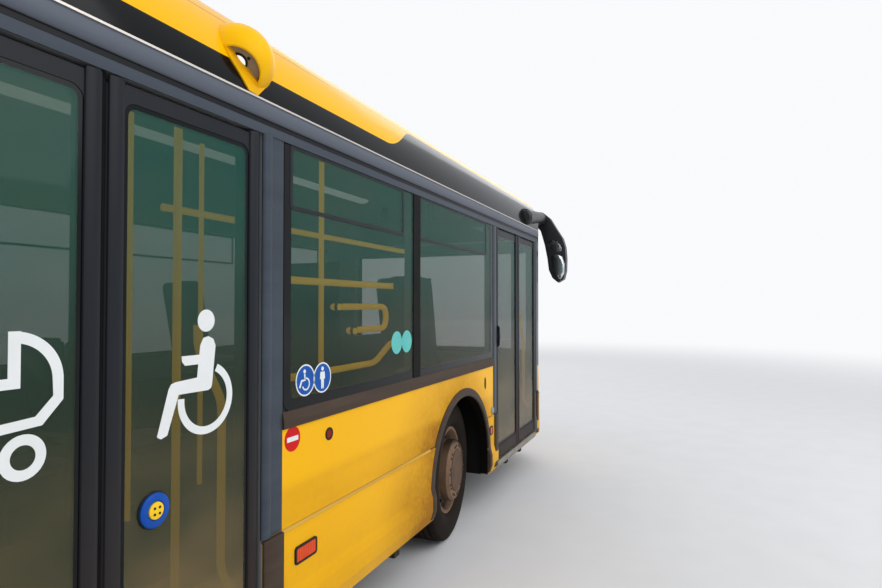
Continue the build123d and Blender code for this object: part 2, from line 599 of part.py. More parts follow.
# Tyres and rims. Each point is a radius and a distance outboard of the wheel's middle
# plane. Tyres have flat facets round them; rims are turned about the wheel's axis.
TYRE_FACETS = 48
TYRE_SHOULDER = (TYRE_RADIUS, 108.0)
TYRE_BULGE = (392.0, TYRE_HALF_WIDTH)
TYRE_SIDE_FOOT = (299.0, 98.0)
FRONT_RIM = [(0, 160), (192, 160), (212, 142), (212, 90), (256, 62), (278, 106), (298, 106), (298, 98.3),
             (287.7, 98.3), (287.7, -98.3), (272, -98.3), (272, 50), (212, 76), (150, 76), (150, 10),
             (40.3, 10), (40.3, 120), (0, 120)]
TWIN_RIM_OUTER = [(0, 210), (110, 210), (110, 20), (190, 20), (256, 110), (256, 271), (298, 271),
                  (298, 263.3), (287.7, 263.3), (287.7, 66.7), (270, 66.7), (270, 104)]
HUB_RADIUS = 110.0
HUB_INNER_END = -80.0
DISC_JOINT = 200.0
SPINDLE_RADIUS = 40.0
STUB_RADIUS = 50.0
STUB_END = 150.0
HOLE_CIRCLE = 232.0
HOLE_LENGTH = 60.0
HOLE_WIDTH = 26.0
HOLE_CORNER = 9.0


def wheel_frame(x, y, side, turn=0.0):
    """Centre and outboard direction of a wheel, with its own axis as local Y."""
    outboard = Vector(-side * sin(radians(turn)), side * cos(radians(turn)), 0)
    centre = Vector(x, y, TYRE_RADIUS)
    return Plane(origin=centre, x_dir=(0, 0, 1), z_dir=Vector(0, 0, 1).cross(outboard)), centre, outboard


def front_wheel_centre(side):
    """Middle of a front wheel, swung about its kingpin to the stored steering angle."""
    turn = radians(STEER_AT_REST)
    return (X_FRONT - side * KINGPIN_SCRUB * sin(turn), side * (KINGPIN_Y + KINGPIN_SCRUB * cos(turn)))


def facets(centre, outboard, reach, radius):
    """Sketch of a tyre's round section, with a flat facet lowest."""
    with BuildSketch(Plane(origin=centre + outboard * reach, x_dir=(0, 0, 1), z_dir=outboard)) as ring:
        RegularPolygon(radius, TYRE_FACETS, major_radius=False, rotation=180 / TYRE_FACETS)
    return ring.sketch


def tyre(centre, outboard, shifts):
    """Tyres on one hub, each moved out from the centre along the wheel's axis."""
    with BuildPart() as tyres:
        for shift in shifts:
            tread = [(-TYRE_BULGE[1], TYRE_BULGE[0]), (-TYRE_SHOULDER[1], TYRE_SHOULDER[0]),
                     (TYRE_SHOULDER[1], TYRE_SHOULDER[0]), (TYRE_BULGE[1], TYRE_BULGE[0])]
            loft([facets(centre, outboard, shift + n, r) for n, r in tread], ruled=True)
            for face in (-1, 1):
                dish = [(face * TYRE_BULGE[1], TYRE_BULGE[0]), (face * TYRE_SIDE_FOOT[1], TYRE_SIDE_FOOT[0])]
                loft([facets(centre, outboard, shift + n, r) for n, r in dish], ruled=True, mode=Mode.SUBTRACT)
            add(facets(centre, outboard, shift - TYRE_HALF_WIDTH, BEAD_RADIUS))
            extrude(amount=2 * TYRE_HALF_WIDTH, dir=outboard, mode=Mode.SUBTRACT)
    return tyres


def hand_holes(centre, outboard, low, high):
    """Long holes round a rim's disc, between two distances out along the axis."""
    with BuildPart() as holes:
        with BuildSketch(Plane(origin=centre + outboard * low, x_dir=(0, 0, 1), z_dir=outboard)):
            with PolarLocations(HOLE_CIRCLE, HAND_HOLES):
                hole = Rectangle(HOLE_WIDTH, HOLE_LENGTH)
            chamfer(hole.vertices(), HOLE_CORNER)
        extrude(amount=high - low)
    return holes.part


for side, label in ((1, "left"), (-1, "right")):
    hub_x, hub_y = front_wheel_centre(side)
    frame, centre, outboard = wheel_frame(hub_x, hub_y, side, STEER_AT_REST)
    front_tyre = tyre(centre, outboard, [0])
    front_tyre.part.label = f"front_tyre_{label}"
    export_step(front_tyre.part, f"parts/front_tyre_{label}.step")
    with BuildPart() as front_rim:
        with BuildSketch(frame):
            with BuildLine():
                Polyline(*FRONT_RIM, close=True)
            make_face()
        revolve(axis=Axis(origin=centre, direction=outboard))
        add(hand_holes(centre, outboard, 40, 130), mode=Mode.SUBTRACT)
    front_rim.part.label = f"front_rim_{label}"
    export_step(front_rim.part, f"parts/front_rim_{label}.step")

    frame, centre, outboard = wheel_frame(X_REAR, side * (WHEEL_Y - TWIN_SPACING / 2), side)
    rear_tyres = tyre(centre, outboard, [-TWIN_SPACING / 2, TWIN_SPACING / 2])
    rear_tyres.part.label = f"rear_tyres_{label}"
    export_step(rear_tyres.part, f"parts/rear_tyres_{label}.step")
    with BuildPart() as rear_rims:
        with BuildSketch(frame):
            with BuildLine():
                inner_wheel = [(r, -n) for r, n in reversed(TWIN_RIM_OUTER[3:])]
                Polyline(*TWIN_RIM_OUTER, (DISC_JOINT, 0), *inner_wheel, (HUB_RADIUS, -TWIN_RIM_OUTER[2][1]),
                         (HUB_RADIUS, HUB_INNER_END), (STUB_RADIUS + FIT, HUB_INNER_END),
                         (STUB_RADIUS + FIT, STUB_END), (0, STUB_END), close=True)
            make_face()
        revolve(axis=Axis(origin=centre, direction=outboard))
        add(hand_holes(centre, outboard, -130, 130), mode=Mode.SUBTRACT)
    rear_rims.part.label = f"rear_rims_{label}"
    export_step(rear_rims.part, f"parts/rear_rims_{label}.step")

# Front axle: a dropped beam under the low floor that rises inside each wheel to an eye
# for the kingpin
BEAM_BOTTOM = 150.0
BEAM_DEEP = 75.0
BEAM_WIDTH = 110.0
BEAM_RISE_FROM = 690.0
BEAM_RISE_TO = 800.0
BEAM_CORNER = 60.0
BEAM_SHOULDER = 20.0
EYE_HALF = 62.0
EYE_RADIUS = 52.0
with BuildPart() as front_axle:
    with BuildSketch(Plane.YZ.offset(X_FRONT)):
        with BuildLine():
            outline = [(BEAM_RISE_TO - BEAM_CORNER, BEAM_BOTTOM), (BEAM_RISE_TO, BEAM_BOTTOM + BEAM_CORNER),
                       (BEAM_RISE_TO, TYRE_RADIUS - EYE_HALF), (KINGPIN_Y, TYRE_RADIUS - EYE_HALF),
                       (KINGPIN_Y, TYRE_RADIUS + EYE_HALF),
                       (BEAM_RISE_FROM + BEAM_SHOULDER, TYRE_RADIUS + EYE_HALF),
                       (BEAM_RISE_FROM, TYRE_RADIUS + EYE_HALF - 2 * BEAM_SHOULDER),
                       (BEAM_RISE_FROM, BEAM_BOTTOM + BEAM_DEEP)]
            Polyline(*outline, *[(-y, z) for y, z in reversed(outline)], close=True)
        make_face()
    extrude(amount=BEAM_WIDTH / 2, both=True)
    for side in (-1, 1):
        with BuildSketch(Plane.XY.offset(TYRE_RADIUS - EYE_HALF)):
            with Locations((X_FRONT, side * KINGPIN_Y)):
                Circle(EYE_RADIUS)
        extrude(amount=2 * EYE_HALF)
        with BuildSketch(Plane.XY.offset(TYRE_RADIUS - EYE_HALF - 1)):
            with Locations((X_FRONT, side * KINGPIN_Y)):
                Circle(KINGPIN_RADIUS + FIT)
        extrude(amount=2 * EYE_HALF + 2, mode=Mode.SUBTRACT)
front_axle.part.label = "front_axle"
export_step(front_axle.part, "parts/front_axle.step")

# Steering knuckles: a fork round the beam's eye, the kingpin, the wheel's spindle and
# the steering arm
FORK_THICK = 34.0
FORK_REACH = 84.0
CHEEK_THICK = 26.0
SPINDLE_FROM = 70.0
SPINDLE_PAST_WHEEL = 119.0
ARM_WIDTH = 44.0
ARM_EYE = 26.0
ARM_Z = TYRE_RADIUS - EYE_HALF - FIT - FORK_THICK
for side, label in ((1, "left"), (-1, "right")):
    hub_x, hub_y = front_wheel_centre(side)
    frame, centre, outboard = wheel_frame(hub_x, hub_y, side, STEER_AT_REST)
    kingpin = Vector(X_FRONT, side * KINGPIN_Y, 0)
    ahead = Vector(cos(radians(STEER_AT_REST)), sin(radians(STEER_AT_REST)), 0)
    turned = Plane(origin=kingpin, x_dir=ahead, z_dir=(0, 0, 1))
    with BuildPart() as knuckle:
        for level in (ARM_Z, TYRE_RADIUS + EYE_HALF + FIT):
            with BuildSketch(turned.offset(level)):
                Circle(EYE_RADIUS)
                with Locations((0, side * FORK_REACH / 2)):
                    Rectangle(2 * EYE_RADIUS, FORK_REACH)
            extrude(amount=FORK_THICK)
        with BuildSketch(turned.offset(ARM_Z + FORK_THICK)):
            Circle(KINGPIN_RADIUS)
        extrude(amount=2 * EYE_HALF + 2 * FIT)
        with BuildSketch(turned.offset(ARM_Z)):
            with Locations((0, side * (FORK_REACH - CHEEK_THICK / 2))):
                Rectangle(2 * EYE_RADIUS, CHEEK_THICK)
        extrude(amount=2 * (EYE_HALF + FIT + FORK_THICK))
        spindle = kingpin + Vector(0, 0, TYRE_RADIUS) + outboard * SPINDLE_FROM
        with BuildSketch(Plane(origin=spindle, x_dir=(0, 0, 1), z_dir=outboard)):
            Circle(SPINDLE_RADIUS)
        extrude(amount=KINGPIN_SCRUB - SPINDLE_FROM + SPINDLE_PAST_WHEEL)
        with BuildSketch(turned.offset(ARM_Z)):
            with Locations((-STEERING_ARM / 2, 0)):
                Rectangle(STEERING_ARM, ARM_WIDTH)
            with Locations((-STEERING_ARM, 0)):
                Circle(ARM_EYE)
        extrude(amount=FORK_THICK)
    knuckle.part.label = f"knuckle_{label}"
    export_step(knuckle.part, f"parts/knuckle_{label}.step")

# Rear axle: tapered housing with its round final drive and a stub in each twin hub
HOUSING_RADIUS = 85.0
DRIVE_RADIUS = 215.0
DRIVE_HALF = 60.0
DRIVE_SHOULDER = (185.0, 150.0)
TAPER_TO = 300.0
TWIN_CENTRE_Y = WHEEL_Y - TWIN_SPACING / 2
HOUSING_END = TWIN_CENTRE_Y + HUB_INNER_END - 2.0
SPRING_REACH = 330.0
SPRING_FOOT = 470.0
SPRING_ARM_DEEP = 60.0
SPRING_ARM_HALF = 40.0
with BuildPart() as rear_axle:
    with BuildSketch(Plane(origin=(X_REAR, 0, TYRE_RADIUS), x_dir=(0, 0, 1), z_dir=(-1, 0, 0))):
        half_housing = [(0, HOUSING_END), (HOUSING_RADIUS, HOUSING_END), (HOUSING_RADIUS, TAPER_TO),
                        DRIVE_SHOULDER, (DRIVE_RADIUS, DRIVE_HALF)]
        with BuildLine():
            Polyline(*[(r, -n) for r, n in half_housing], *reversed(half_housing), close=True)
        make_face()
    revolve(axis=Axis((X_REAR, 0, TYRE_RADIUS), (0, 1, 0)))
    stub_reach = TWIN_CENTRE_Y + STUB_END - FIT
    with BuildSketch(Plane.XZ.offset(-stub_reach)):
        with Locations((X_REAR, TYRE_RADIUS)):
            Circle(STUB_RADIUS)
    extrude(amount=2 * stub_reach)
    for side in (-1, 1):
        add(span(X_REAR - SPRING_REACH - SPRING_ARM_DEEP, X_REAR + SPRING_REACH + SPRING_ARM_DEEP,
                 *sorted((side * (RAIL_Y - SPRING_ARM_HALF), side * (RAIL_Y + SPRING_ARM_HALF))),
                 SPRING_FOOT - SPRING_ARM_DEEP, SPRING_FOOT))
rear_axle.part.label = "rear_axle"
export_step(rear_axle.part, "parts/rear_axle.step")

# Air springs: one strut in each front wheel box, and a pair at each side of the rear
# axle, between its arms and the long rails. Each is a piston with a bellows over it.
STRUT_Y = 745.0
STRUT_RADIUS = 54.0
BELLOWS_RADIUS = 92.0
PISTON_SHARE = 0.75
PISTON_HEIGHT_SHARE = 0.4


def air_spring(x, y, low, high, radius):
    """Piston and bellows, standing between two levels."""
    joint = low + PISTON_HEIGHT_SHARE * (high - low)
    with BuildPart() as spring:
        for share, foot, head in ((PISTON_SHARE, low, joint), (1.0, joint, high)):
            with BuildSketch(Plane.XY.offset(foot)):
                with Locations((x, y)):
                    Circle(share * radius)
            extrude(amount=head - foot)
    return spring.part


with BuildPart() as air_springs:
    for side in (-1, 1):
        add(air_spring(X_FRONT, side * STRUT_Y, TYRE_RADIUS + EYE_HALF, FRONT_BOX_TOP - BOX_WALL,
                       STRUT_RADIUS))
        for end in (-1, 1):
            add(air_spring(X_REAR + end * SPRING_REACH, side * RAIL_Y, SPRING_FOOT, HIGH_TOP - RAIL_DEEP,
                           BELLOWS_RADIUS))
air_springs.part.label = "air_springs"
export_step(air_springs.part, "parts/air_springs.step")

# Driver's place: a raised platform, the seat, the instrument desk, the wheel and the
# partition behind it
CAB_PLATFORM_TOP = FLOOR_TOP + 260.0
CAB_REAR = along(820.0)
CAB_FRONT = X_NOSE - 640.0
CAB_INNER = 280.0
with BuildPart() as cab_platform:
    add(span(CAB_REAR, CAB_FRONT, CAB_INNER, INNER_HALF - SEAM, FLOOR_TOP, CAB_PLATFORM_TOP))
cab_platform.part.label = "cab_platform"
export_step(cab_platform.part, "parts/cab_platform.step")

# Instrument desk: its section is given from the platform's front and by height
DESK_TOP = 1130.0
DESK_INNER = -250.0
DESK_SECTION = [(SEAM, FLOOR_TOP), (SEAM, DESK_TOP - 230), (-90.0, DESK_TOP - 170), (-60.0, DESK_TOP - 70),
                (130.0, DESK_TOP)]
DESK_FALL = 110.0
with BuildPart() as dashboard:
    with BuildSketch(Plane.XZ.offset(-DESK_INNER)):
        with BuildLine():
            Polyline(*[(CAB_FRONT + x, z) for x, z in DESK_SECTION], (X_NOSE, DESK_TOP - DESK_FALL),
                     (X_NOSE, FLOOR_TOP), close=True)
        make_face()
    extrude(amount=-(INNER_HALF - SEAM - DESK_INNER))
    add(floor_form, mode=Mode.INTERSECT)
dashboard.part.label = "dashboard"
export_step(dashboard.part, "parts/dashboard.step")

# Driver's seat: a shell given from its place and the platform, on a plain pedestal
DRIVER_Y = 690.0
DRIVER_X = along(1150.0)
DRIVER_SHELL = [(0.0, 370.0), (460.0, 400.0), (480.0, 480.0), (60.0, 470.0), (-60.0, 1180.0),
                (-150.0, 1170.0), (-50.0, 420.0)]
DRIVER_HALF = 240.0
PEDESTAL_HALF = 150.0
PEDESTAL_X = (60.0, 360.0)
with BuildPart() as driver_seat:
    with BuildSketch(Plane.XZ.offset(-DRIVER_Y)):
        with BuildLine():
            Polyline(*[(DRIVER_X + x, CAB_PLATFORM_TOP + z) for x, z in DRIVER_SHELL], close=True)
        make_face()
    extrude(amount=DRIVER_HALF, both=True)
    fillet(edges().filter_by(Axis.Y), 25)
    add(span(DRIVER_X + PEDESTAL_X[0], DRIVER_X + PEDESTAL_X[1], DRIVER_Y - PEDESTAL_HALF,
             DRIVER_Y + PEDESTAL_HALF, CAB_PLATFORM_TOP, CAB_PLATFORM_TOP + DRIVER_SHELL[1][1] - 10))
driver_seat.part.label = "driver_seat"
export_step(driver_seat.part, "parts/driver_seat.step")

WHEEL_RING = 225.0
WHEEL_TUBE = 16.0
COLUMN_RADIUS = 30.0
WHEEL_TILT = 28.0
BOSS_RADIUS = 58.0
SPOKE_WIDTH = 34.0
SPOKE_THICK = 24.0
COLUMN_LENGTH = 170.0
HUB_CENTRE = Vector(CAB_FRONT - 165, DRIVER_Y, DESK_TOP + 50)
with BuildPart() as steering_wheel:
    column = Vector(-sin(radians(WHEEL_TILT)), 0, cos(radians(WHEEL_TILT)))
    ring_plane = Plane(origin=HUB_CENTRE, x_dir=(0, 1, 0), z_dir=column)
    with BuildSketch(Plane(origin=HUB_CENTRE, x_dir=(0, 1, 0), z_dir=Vector(0, 1, 0).cross(column))):
        with Locations((WHEEL_RING, 0)):
            RegularPolygon(WHEEL_TUBE, 6)
    revolve(axis=Axis(origin=HUB_CENTRE, direction=column))
    with BuildSketch(ring_plane.offset(-SPOKE_THICK / 2)):
        Circle(BOSS_RADIUS)
        with PolarLocations(WHEEL_RING / 2, 3, start_angle=90):
            Rectangle(WHEEL_RING, SPOKE_WIDTH)
    extrude(amount=SPOKE_THICK)
    with BuildSketch(ring_plane):
        Circle(COLUMN_RADIUS)
    extrude(amount=-COLUMN_LENGTH)
    add(dashboard.part, mode=Mode.SUBTRACT)
steering_wheel.part.label = "steering_wheel"
export_step(steering_wheel.part, "parts/steering_wheel.step")

# Cab partition: a tall wall behind the driver with a low wing along the gangway
PARTITION_TOP = CANTRAIL - 370.0
PARTITION_THICK = 35.0
WING_TOP = 1350.0
WING_LENGTH = 900.0
with BuildPart() as cab_partition:
    wing_side = CAB_INNER - PARTITION_THICK
    wall_back = CAB_REAR - PARTITION_THICK - SEAM
    add(span(wall_back, CAB_REAR - SEAM, CAB_INNER, INNER_HALF - SEAM, FLOOR_TOP, PARTITION_TOP))
    add(span(CAB_REAR - SEAM, CAB_REAR + WING_LENGTH, wing_side, CAB_INNER - SEAM, FLOOR_TOP, WING_TOP))
    add(span(wall_back, CAB_REAR, wing_side, CAB_INNER, FLOOR_TOP, WING_TOP))
cab_partition.part.label = "cab_partition"
export_step(cab_partition.part, "parts/cab_partition.step")

# Passenger seats, all facing forwards: place of the back's foot from the front axle, side
# of the bus, number of places, level of the floor for the feet and what the seat stands on
SEAT_WIDTH = 430.0
SEAT_TO_WALL = 12.0
SEATS = [(-1350.0, 1, 2, FLOOR_TOP, FLOOR_TOP), (-2100.0, 1, 2, FLOOR_TOP, FLOOR_TOP),
         (-2850.0, 1, 2, FLOOR_TOP, FLOOR_TOP), (-3600.0, 1, 2, FLOOR_TOP, FLOOR_TOP),
         (-5080.0, 1, 2, REAR_FLOOR_TOP, REAR_FLOOR_TOP), (-5080.0, -1, 2, REAR_FLOOR_TOP, REAR_FLOOR_TOP),
         (-5830.0, 1, 1, REAR_FLOOR_TOP, REAR_BOX_TOP), (-5830.0, -1, 1, REAR_FLOOR_TOP, REAR_BOX_TOP),
         (-6400.0, 1, 1, REAR_FLOOR_TOP, REAR_BOX_TOP), (-6400.0, -1, 1, REAR_FLOOR_TOP, REAR_BOX_TOP),
         (-7150.0, 1, 2, REAR_FLOOR_TOP, REAR_FLOOR_TOP), (-7150.0, -1, 2, REAR_FLOOR_TOP, REAR_FLOOR_TOP),
         (-250.0, 1, 1, 760.0, FRONT_BOX_TOP), (-250.0, -1, 1, 760.0, FRONT_BOX_TOP)]

# Seat shell: each point ahead of the back's foot and above the feet. The leg is below.
SEAT_LEG = (60.0, 330.0)
SEAT_SHELL = [(330.0, 370.0), (440.0, 395.0), (450.0, 450.0), (40.0, 430.0), (-90.0, 1080.0),
              (-135.0, 1070.0), (-10.0, 370.0), (60.0, 365.0)]
with BuildPart() as passenger_seats:
    for x, side, places, feet, base in SEATS:
        foot_x = along(x)
        with BuildSketch(Plane.XZ.offset(-side * (INNER_HALF - SEAT_TO_WALL))):
            with BuildLine():
                Polyline(*[(foot_x + x, base) for x in SEAT_LEG],
                         *[(foot_x + x, feet + z) for x, z in SEAT_SHELL], close=True)
            face = make_face()
            fillet(face.vertices().group_by(Axis.Y)[-2:], 18)
        extrude(amount=side * places * SEAT_WIDTH)
passenger_seats.part.label = "passenger_seats"
export_step(passenger_seats.part, "parts/passenger_seats.step")

# Rear bench on the engine deck, its section given from its place and the deck
BENCH_X = -8150.0
BENCH_FROM_WALL = 60.0
BENCH_SHELL = [(0.0, 0.0), (480.0, 0.0), (500.0, 110.0), (30.0, 90.0), (-100.0, 640.0), (-150.0, 630.0)]
with BuildPart() as rear_bench:
    with BuildSketch(Plane.XZ.offset(-INNER_HALF + BENCH_FROM_WALL)):
        with BuildLine():
            Polyline(*[(along(BENCH_X) + x, ENGINE_DECK_TOP + z) for x, z in BENCH_SHELL], close=True)
        make_face()
    extrude(amount=2 * (INNER_HALF - BENCH_FROM_WALL))
rear_bench.part.label = "rear_bench"
export_step(rear_bench.part, "parts/rear_bench.step")

# Yellow handrails: stanchions from floor to ceiling and rails along under the ceiling
TUBE_RADIUS = 17.5
CEILING = ROOF_HEIGHT - WALL

# Stanchions: forward of the front axle, to the left and the floor's level
STANCHIONS = [(640.0, -520.0, FLOOR_TOP), (-640.0, -520.0, FLOOR_TOP), (-640.0, 520.0, FLOOR_TOP),
              (-1980.0, -700.0, FLOOR_TOP), (-3520.0, -700.0, FLOOR_TOP), (-2760.0, 300.0, FLOOR_TOP),
              (-1400.0, 310.0, FLOOR_TOP), (-4550.0, -330.0, REAR_FLOOR_TOP), (-4550.0, 330.0, REAR_FLOOR_TOP),
              (-6900.0, -315.0, REAR_FLOOR_TOP), (-6900.0, 315.0, REAR_FLOOR_TOP)]
CEILING_RAIL = (-520.0, -1900.0, 640.0)
RAIL_UNDER_CANTRAIL = 320.0
with BuildPart() as handrails:
    for x, y, level in STANCHIONS:
        with BuildSketch(Plane.XY.offset(level)):
            with Locations((along(x), y)):
                Circle(TUBE_RADIUS)
        extrude(amount=CEILING - FIT - level)
    y, x_low, x_high = CEILING_RAIL
    with BuildSketch(Plane.YZ.offset(along(x_low))):
        with Locations((y, CANTRAIL - RAIL_UNDER_CANTRAIL)):
            Circle(TUBE_RADIUS)
    extrude(amount=x_high - x_low)
handrails.part.label = "handrails"
export_step(handrails.part, "parts/handrails.step")

# Destination sign: a blank display box hung under the roof behind its glass
SIGN_BOX_FRONT = BODY_NOSE - 300.0
SIGN_BOX_DEEP = 120.0
HANGER_HALF = 30.0
HANGERS = (-600.0, 0.0, 600.0)
with BuildPart() as destination_sign:
    add(span(SIGN_BOX_FRONT - SIGN_BOX_DEEP, SIGN_BOX_FRONT, -SIGN_HALF + 60, SIGN_HALF - 60,
             SIGN_BOTTOM + 20, SIGN_TOP - 10))
    for y in HANGERS:
        add(span(SIGN_BOX_FRONT - 100, SIGN_BOX_FRONT - 40, y - HANGER_HALF, y + HANGER_HALF,
                 SIGN_TOP - 10, CEILING))
    add(inner_form, mode=Mode.INTERSECT)
destination_sign.part.label = "destination_sign"
export_step(destination_sign.part, "parts/destination_sign.step")

# Outside mirrors: a thick arm from each upper front corner and a head that arches out
# from its end and hangs down. Points of the head are its distance out of the body's side
# and under the roof.
ROOT_X = along(1720.0)
ROOT_IN = 30.0
ROOT_UNDER = 370.0
ARM_ROOT_RADIUS = 84.0
ARM_TIP_RADIUS = 68.0
ARM_TIP_IN = 110.0
ARM_TIP_UNDER = 240.0
ROOT_CHAMFER = 22.0
HEAD_DEPTH = 130.0
HEAD_FRONT = X_NOSE + MIRROR_REACH
HEAD_CHAMFER = 26.0
MIRROR_SEAT = 6.0
HEAD_OUTER = [(-168.0, 160.0), (-76.0, 178.0), (4.0, 247.0), (73.0, 364.0), (146.0, 480.0),
              (MIRROR_SPREAD - 10, 579.0), (MIRROR_SPREAD, 706.0), (MIRROR_SPREAD - 4, 851.0),
              (158.0, 940.0), (95.0, 978.0)]
HEAD_INNER = [(33.0, 926.0), (-7.0, 835.0), (-24.0, 699.0), (-53.0, 550.0), (-99.0, 389.0), (-168.0, 310.0)]
MIRROR_PANES = [[(16.0, 677.0), (84.0, 655.0), (146.0, 682.0), (176.0, 772.0), (170.0, 880.0), (129.0, 950.0),
                 (61.0, 932.0), (22.0, 847.0)],
                [(-18.0, 529.0), (27.0, 497.0), (95.0, 517.0), (140.0, 592.0), (136.0, 628.0), (73.0, 640.0),
                 (4.0, 598.0)]]


def mirror_outline(side, points):
    """Closed outline in a plane across the bus, from distances out and under the roof."""
    return [(side * (HALF + out), ROOF_HEIGHT - under) for out, under in points]


for side, label in ((1, "left"), (-1, "right")):
    with BuildPart() as mirror:
        with BuildSketch(Plane.YZ.offset(HEAD_FRONT - HEAD_DEPTH)):
            with BuildLine():
                Polyline(*mirror_outline(side, HEAD_OUTER + HEAD_INNER), close=True)
            make_face()
        extrude(amount=HEAD_DEPTH)
        chamfer(faces().sort_by(Axis.X)[-1].edges(), HEAD_CHAMFER)
        with BuildSketch(Plane.YZ.offset(HEAD_FRONT - HEAD_DEPTH)):
            for outline in MIRROR_PANES:
                with BuildLine():
                    Polyline(*mirror_outline(side, outline), close=True)
                make_face()
        extrude(amount=MIRROR_SEAT, mode=Mode.SUBTRACT)
        root = Vector(ROOT_X, side * (HALF - ROOT_IN), ROOF_HEIGHT - ROOT_UNDER)
        tip = Vector(HEAD_FRONT - HEAD_DEPTH / 2, side * (HALF - ARM_TIP_IN), ROOF_HEIGHT - ARM_TIP_UNDER)
        arm = tip - root
        with BuildPart(mode=Mode.PRIVATE) as shaft:
            with BuildSketch(Plane(origin=root, z_dir=arm)):
                Circle(ARM_ROOT_RADIUS)
            with BuildSketch(Plane(origin=tip, z_dir=arm)):
                Circle(ARM_TIP_RADIUS)
            loft(ruled=True)
            chamfer(faces().sort_by(Axis.X)[0].edges(), ROOT_CHAMFER)
        add(shaft.part)
        add(outer_form, mode=Mode.SUBTRACT)
    mirror.part.label = f"mirror_{label}"
    export_step(mirror.part, f"parts/mirror_{label}.step")

# Roof air-conditioning unit, set down on the flat of the roof
UNIT_REAR = -7900.0
UNIT_FRONT = -5300.0
UNIT_HALF = 640.0
UNIT_HEIGHT = 170.0
with BuildPart() as roof_unit:
    with BuildSketch(Plane.XY.offset(ROOF_HEIGHT)):
        with Locations((along((UNIT_REAR + UNIT_FRONT) / 2), 0)):
            RectangleRounded(UNIT_FRONT - UNIT_REAR, 2 * UNIT_HALF, 90)
    extrude(amount=UNIT_HEIGHT, taper=12)
roof_unit.part.label = "roof_unit"
export_step(roof_unit.part, "parts/roof_unit.step")

# Roof hatches
HATCHES = (-1400.0, 1100.0, -4300.0)
HATCH_SIDE = 700.0
with BuildPart() as roof_hatches:
    for x in HATCHES:
        with BuildSketch(Plane.XY.offset(ROOF_HEIGHT)):
            with Locations((along(x), 0)):
                RectangleRounded(HATCH_SIDE, HATCH_SIDE, 60)
        extrude(amount=45, taper=20)
roof_hatches.part.label = "roof_hatches"
export_step(roof_hatches.part, "parts/roof_hatches.step")

# Lamp hood over the middle door: a ball let into the cove and cut flat towards the door
# step, with a pocket for the lamp in the cut and a thin flange round its foot
HOOD_RADIUS = 133.0
HOOD_CENTRE = Vector(along(-2160.0), -HALF + 80.0, CANTRAIL + 144.0)
HOOD_FACE = Vector(-0.633, -0.415, -0.654)
HOOD_CUT = 96.0
HOOD_SHELL = 6.0
HOOD_POCKET = 34.0
POCKET_CHORD = 34.0
FLANGE_THICK = 6.0

# Flange of the hood seen from the side: ahead of the ball's centre and above the cantrail
FLANGE_OUTLINE = [(0.0, 284.0), (-104.0, 195.0), (-125.0, 150.0), (-110.0, 101.0), (-36.0, 10.0), (10.0, 6.0),
                  (110.0, 100.0), (140.0, 200.0), (90.0, 284.0)]
COVE_OUT = Vector(0, -0.93, 0.37)
with BuildPart() as lamp_hood:
    cut = HOOD_CENTRE + HOOD_FACE * HOOD_CUT
    out = COVE_OUT - HOOD_FACE * COVE_OUT.dot(HOOD_FACE)
    opening = Plane(origin=cut, x_dir=out, z_dir=HOOD_FACE)
    opening_radius = (HOOD_RADIUS ** 2 - HOOD_CUT ** 2) ** 0.5 - HOOD_SHELL
    with Locations(HOOD_CENTRE):
        Sphere(HOOD_RADIUS)
    with BuildSketch(opening):
        Rectangle(3 * HOOD_RADIUS, 3 * HOOD_RADIUS)
    extrude(amount=HOOD_RADIUS, mode=Mode.SUBTRACT)
    with BuildSketch(opening):
        Circle(opening_radius)
        with Locations((POCKET_CHORD - opening_radius, 0)):
            Rectangle(2 * opening_radius, 2 * opening_radius, mode=Mode.SUBTRACT)
    extrude(amount=-HOOD_POCKET, mode=Mode.SUBTRACT)
    with BuildPart(mode=Mode.PRIVATE) as flange:
        with BuildSketch(Plane.XZ.offset(HALF - COVE_END[0])):
            with BuildLine():
                Polyline(*[(HOOD_CENTRE.X + x, CANTRAIL + z) for x, z in FLANGE_OUTLINE], close=True)
            make_face()
        extrude(amount=WIDTH)
        add(body_form(-FLANGE_THICK), mode=Mode.INTERSECT)
    add(flange.part)
    add(outer_form, mode=Mode.SUBTRACT)
lamp_hood.part.label = "lamp_hood"
export_step(lamp_hood.part, "parts/lamp_hood.step")

# Lamps: a pair of headlamps in the bumper and a column of round lamps at each rear corner
with BuildPart() as headlamps:
    for side in (-1, 1):
        for y, z, radius in HEADLAMPS:
            with BuildSketch(Plane.YZ.offset(X_NOSE - 400)):
                with Locations((side * y, z)):
                    Circle(radius)
            extrude(amount=420)
    add(outer_form.moved(Location((BUMPER_PROUD - 4, 0, 0))), mode=Mode.INTERSECT)
    add(outer_form.moved(Location((BUMPER_PROUD - LAMP_DEEP, 0, 0))), mode=Mode.SUBTRACT)
headlamps.part.label = "headlamps"
export_step(headlamps.part, "parts/headlamps.step")
with BuildPart() as tail_lamps:
    for side in (-1, 1):
        for y, z, radius in TAIL_LAMPS:
            with BuildSketch(Plane.YZ.offset(X_TAIL - 10)):
                with Locations((side * y, z)):
                    Circle(radius)
            extrude(amount=300)
    add(outer_form.moved(Location((4, 0, 0))), mode=Mode.INTERSECT)
    add(outer_form.moved(Location((LAMP_DEEP, 0, 0))), mode=Mode.SUBTRACT)
tail_lamps.part.label = "tail_lamps"
export_step(tail_lamps.part, "parts/tail_lamps.step")
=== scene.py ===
import json
import math

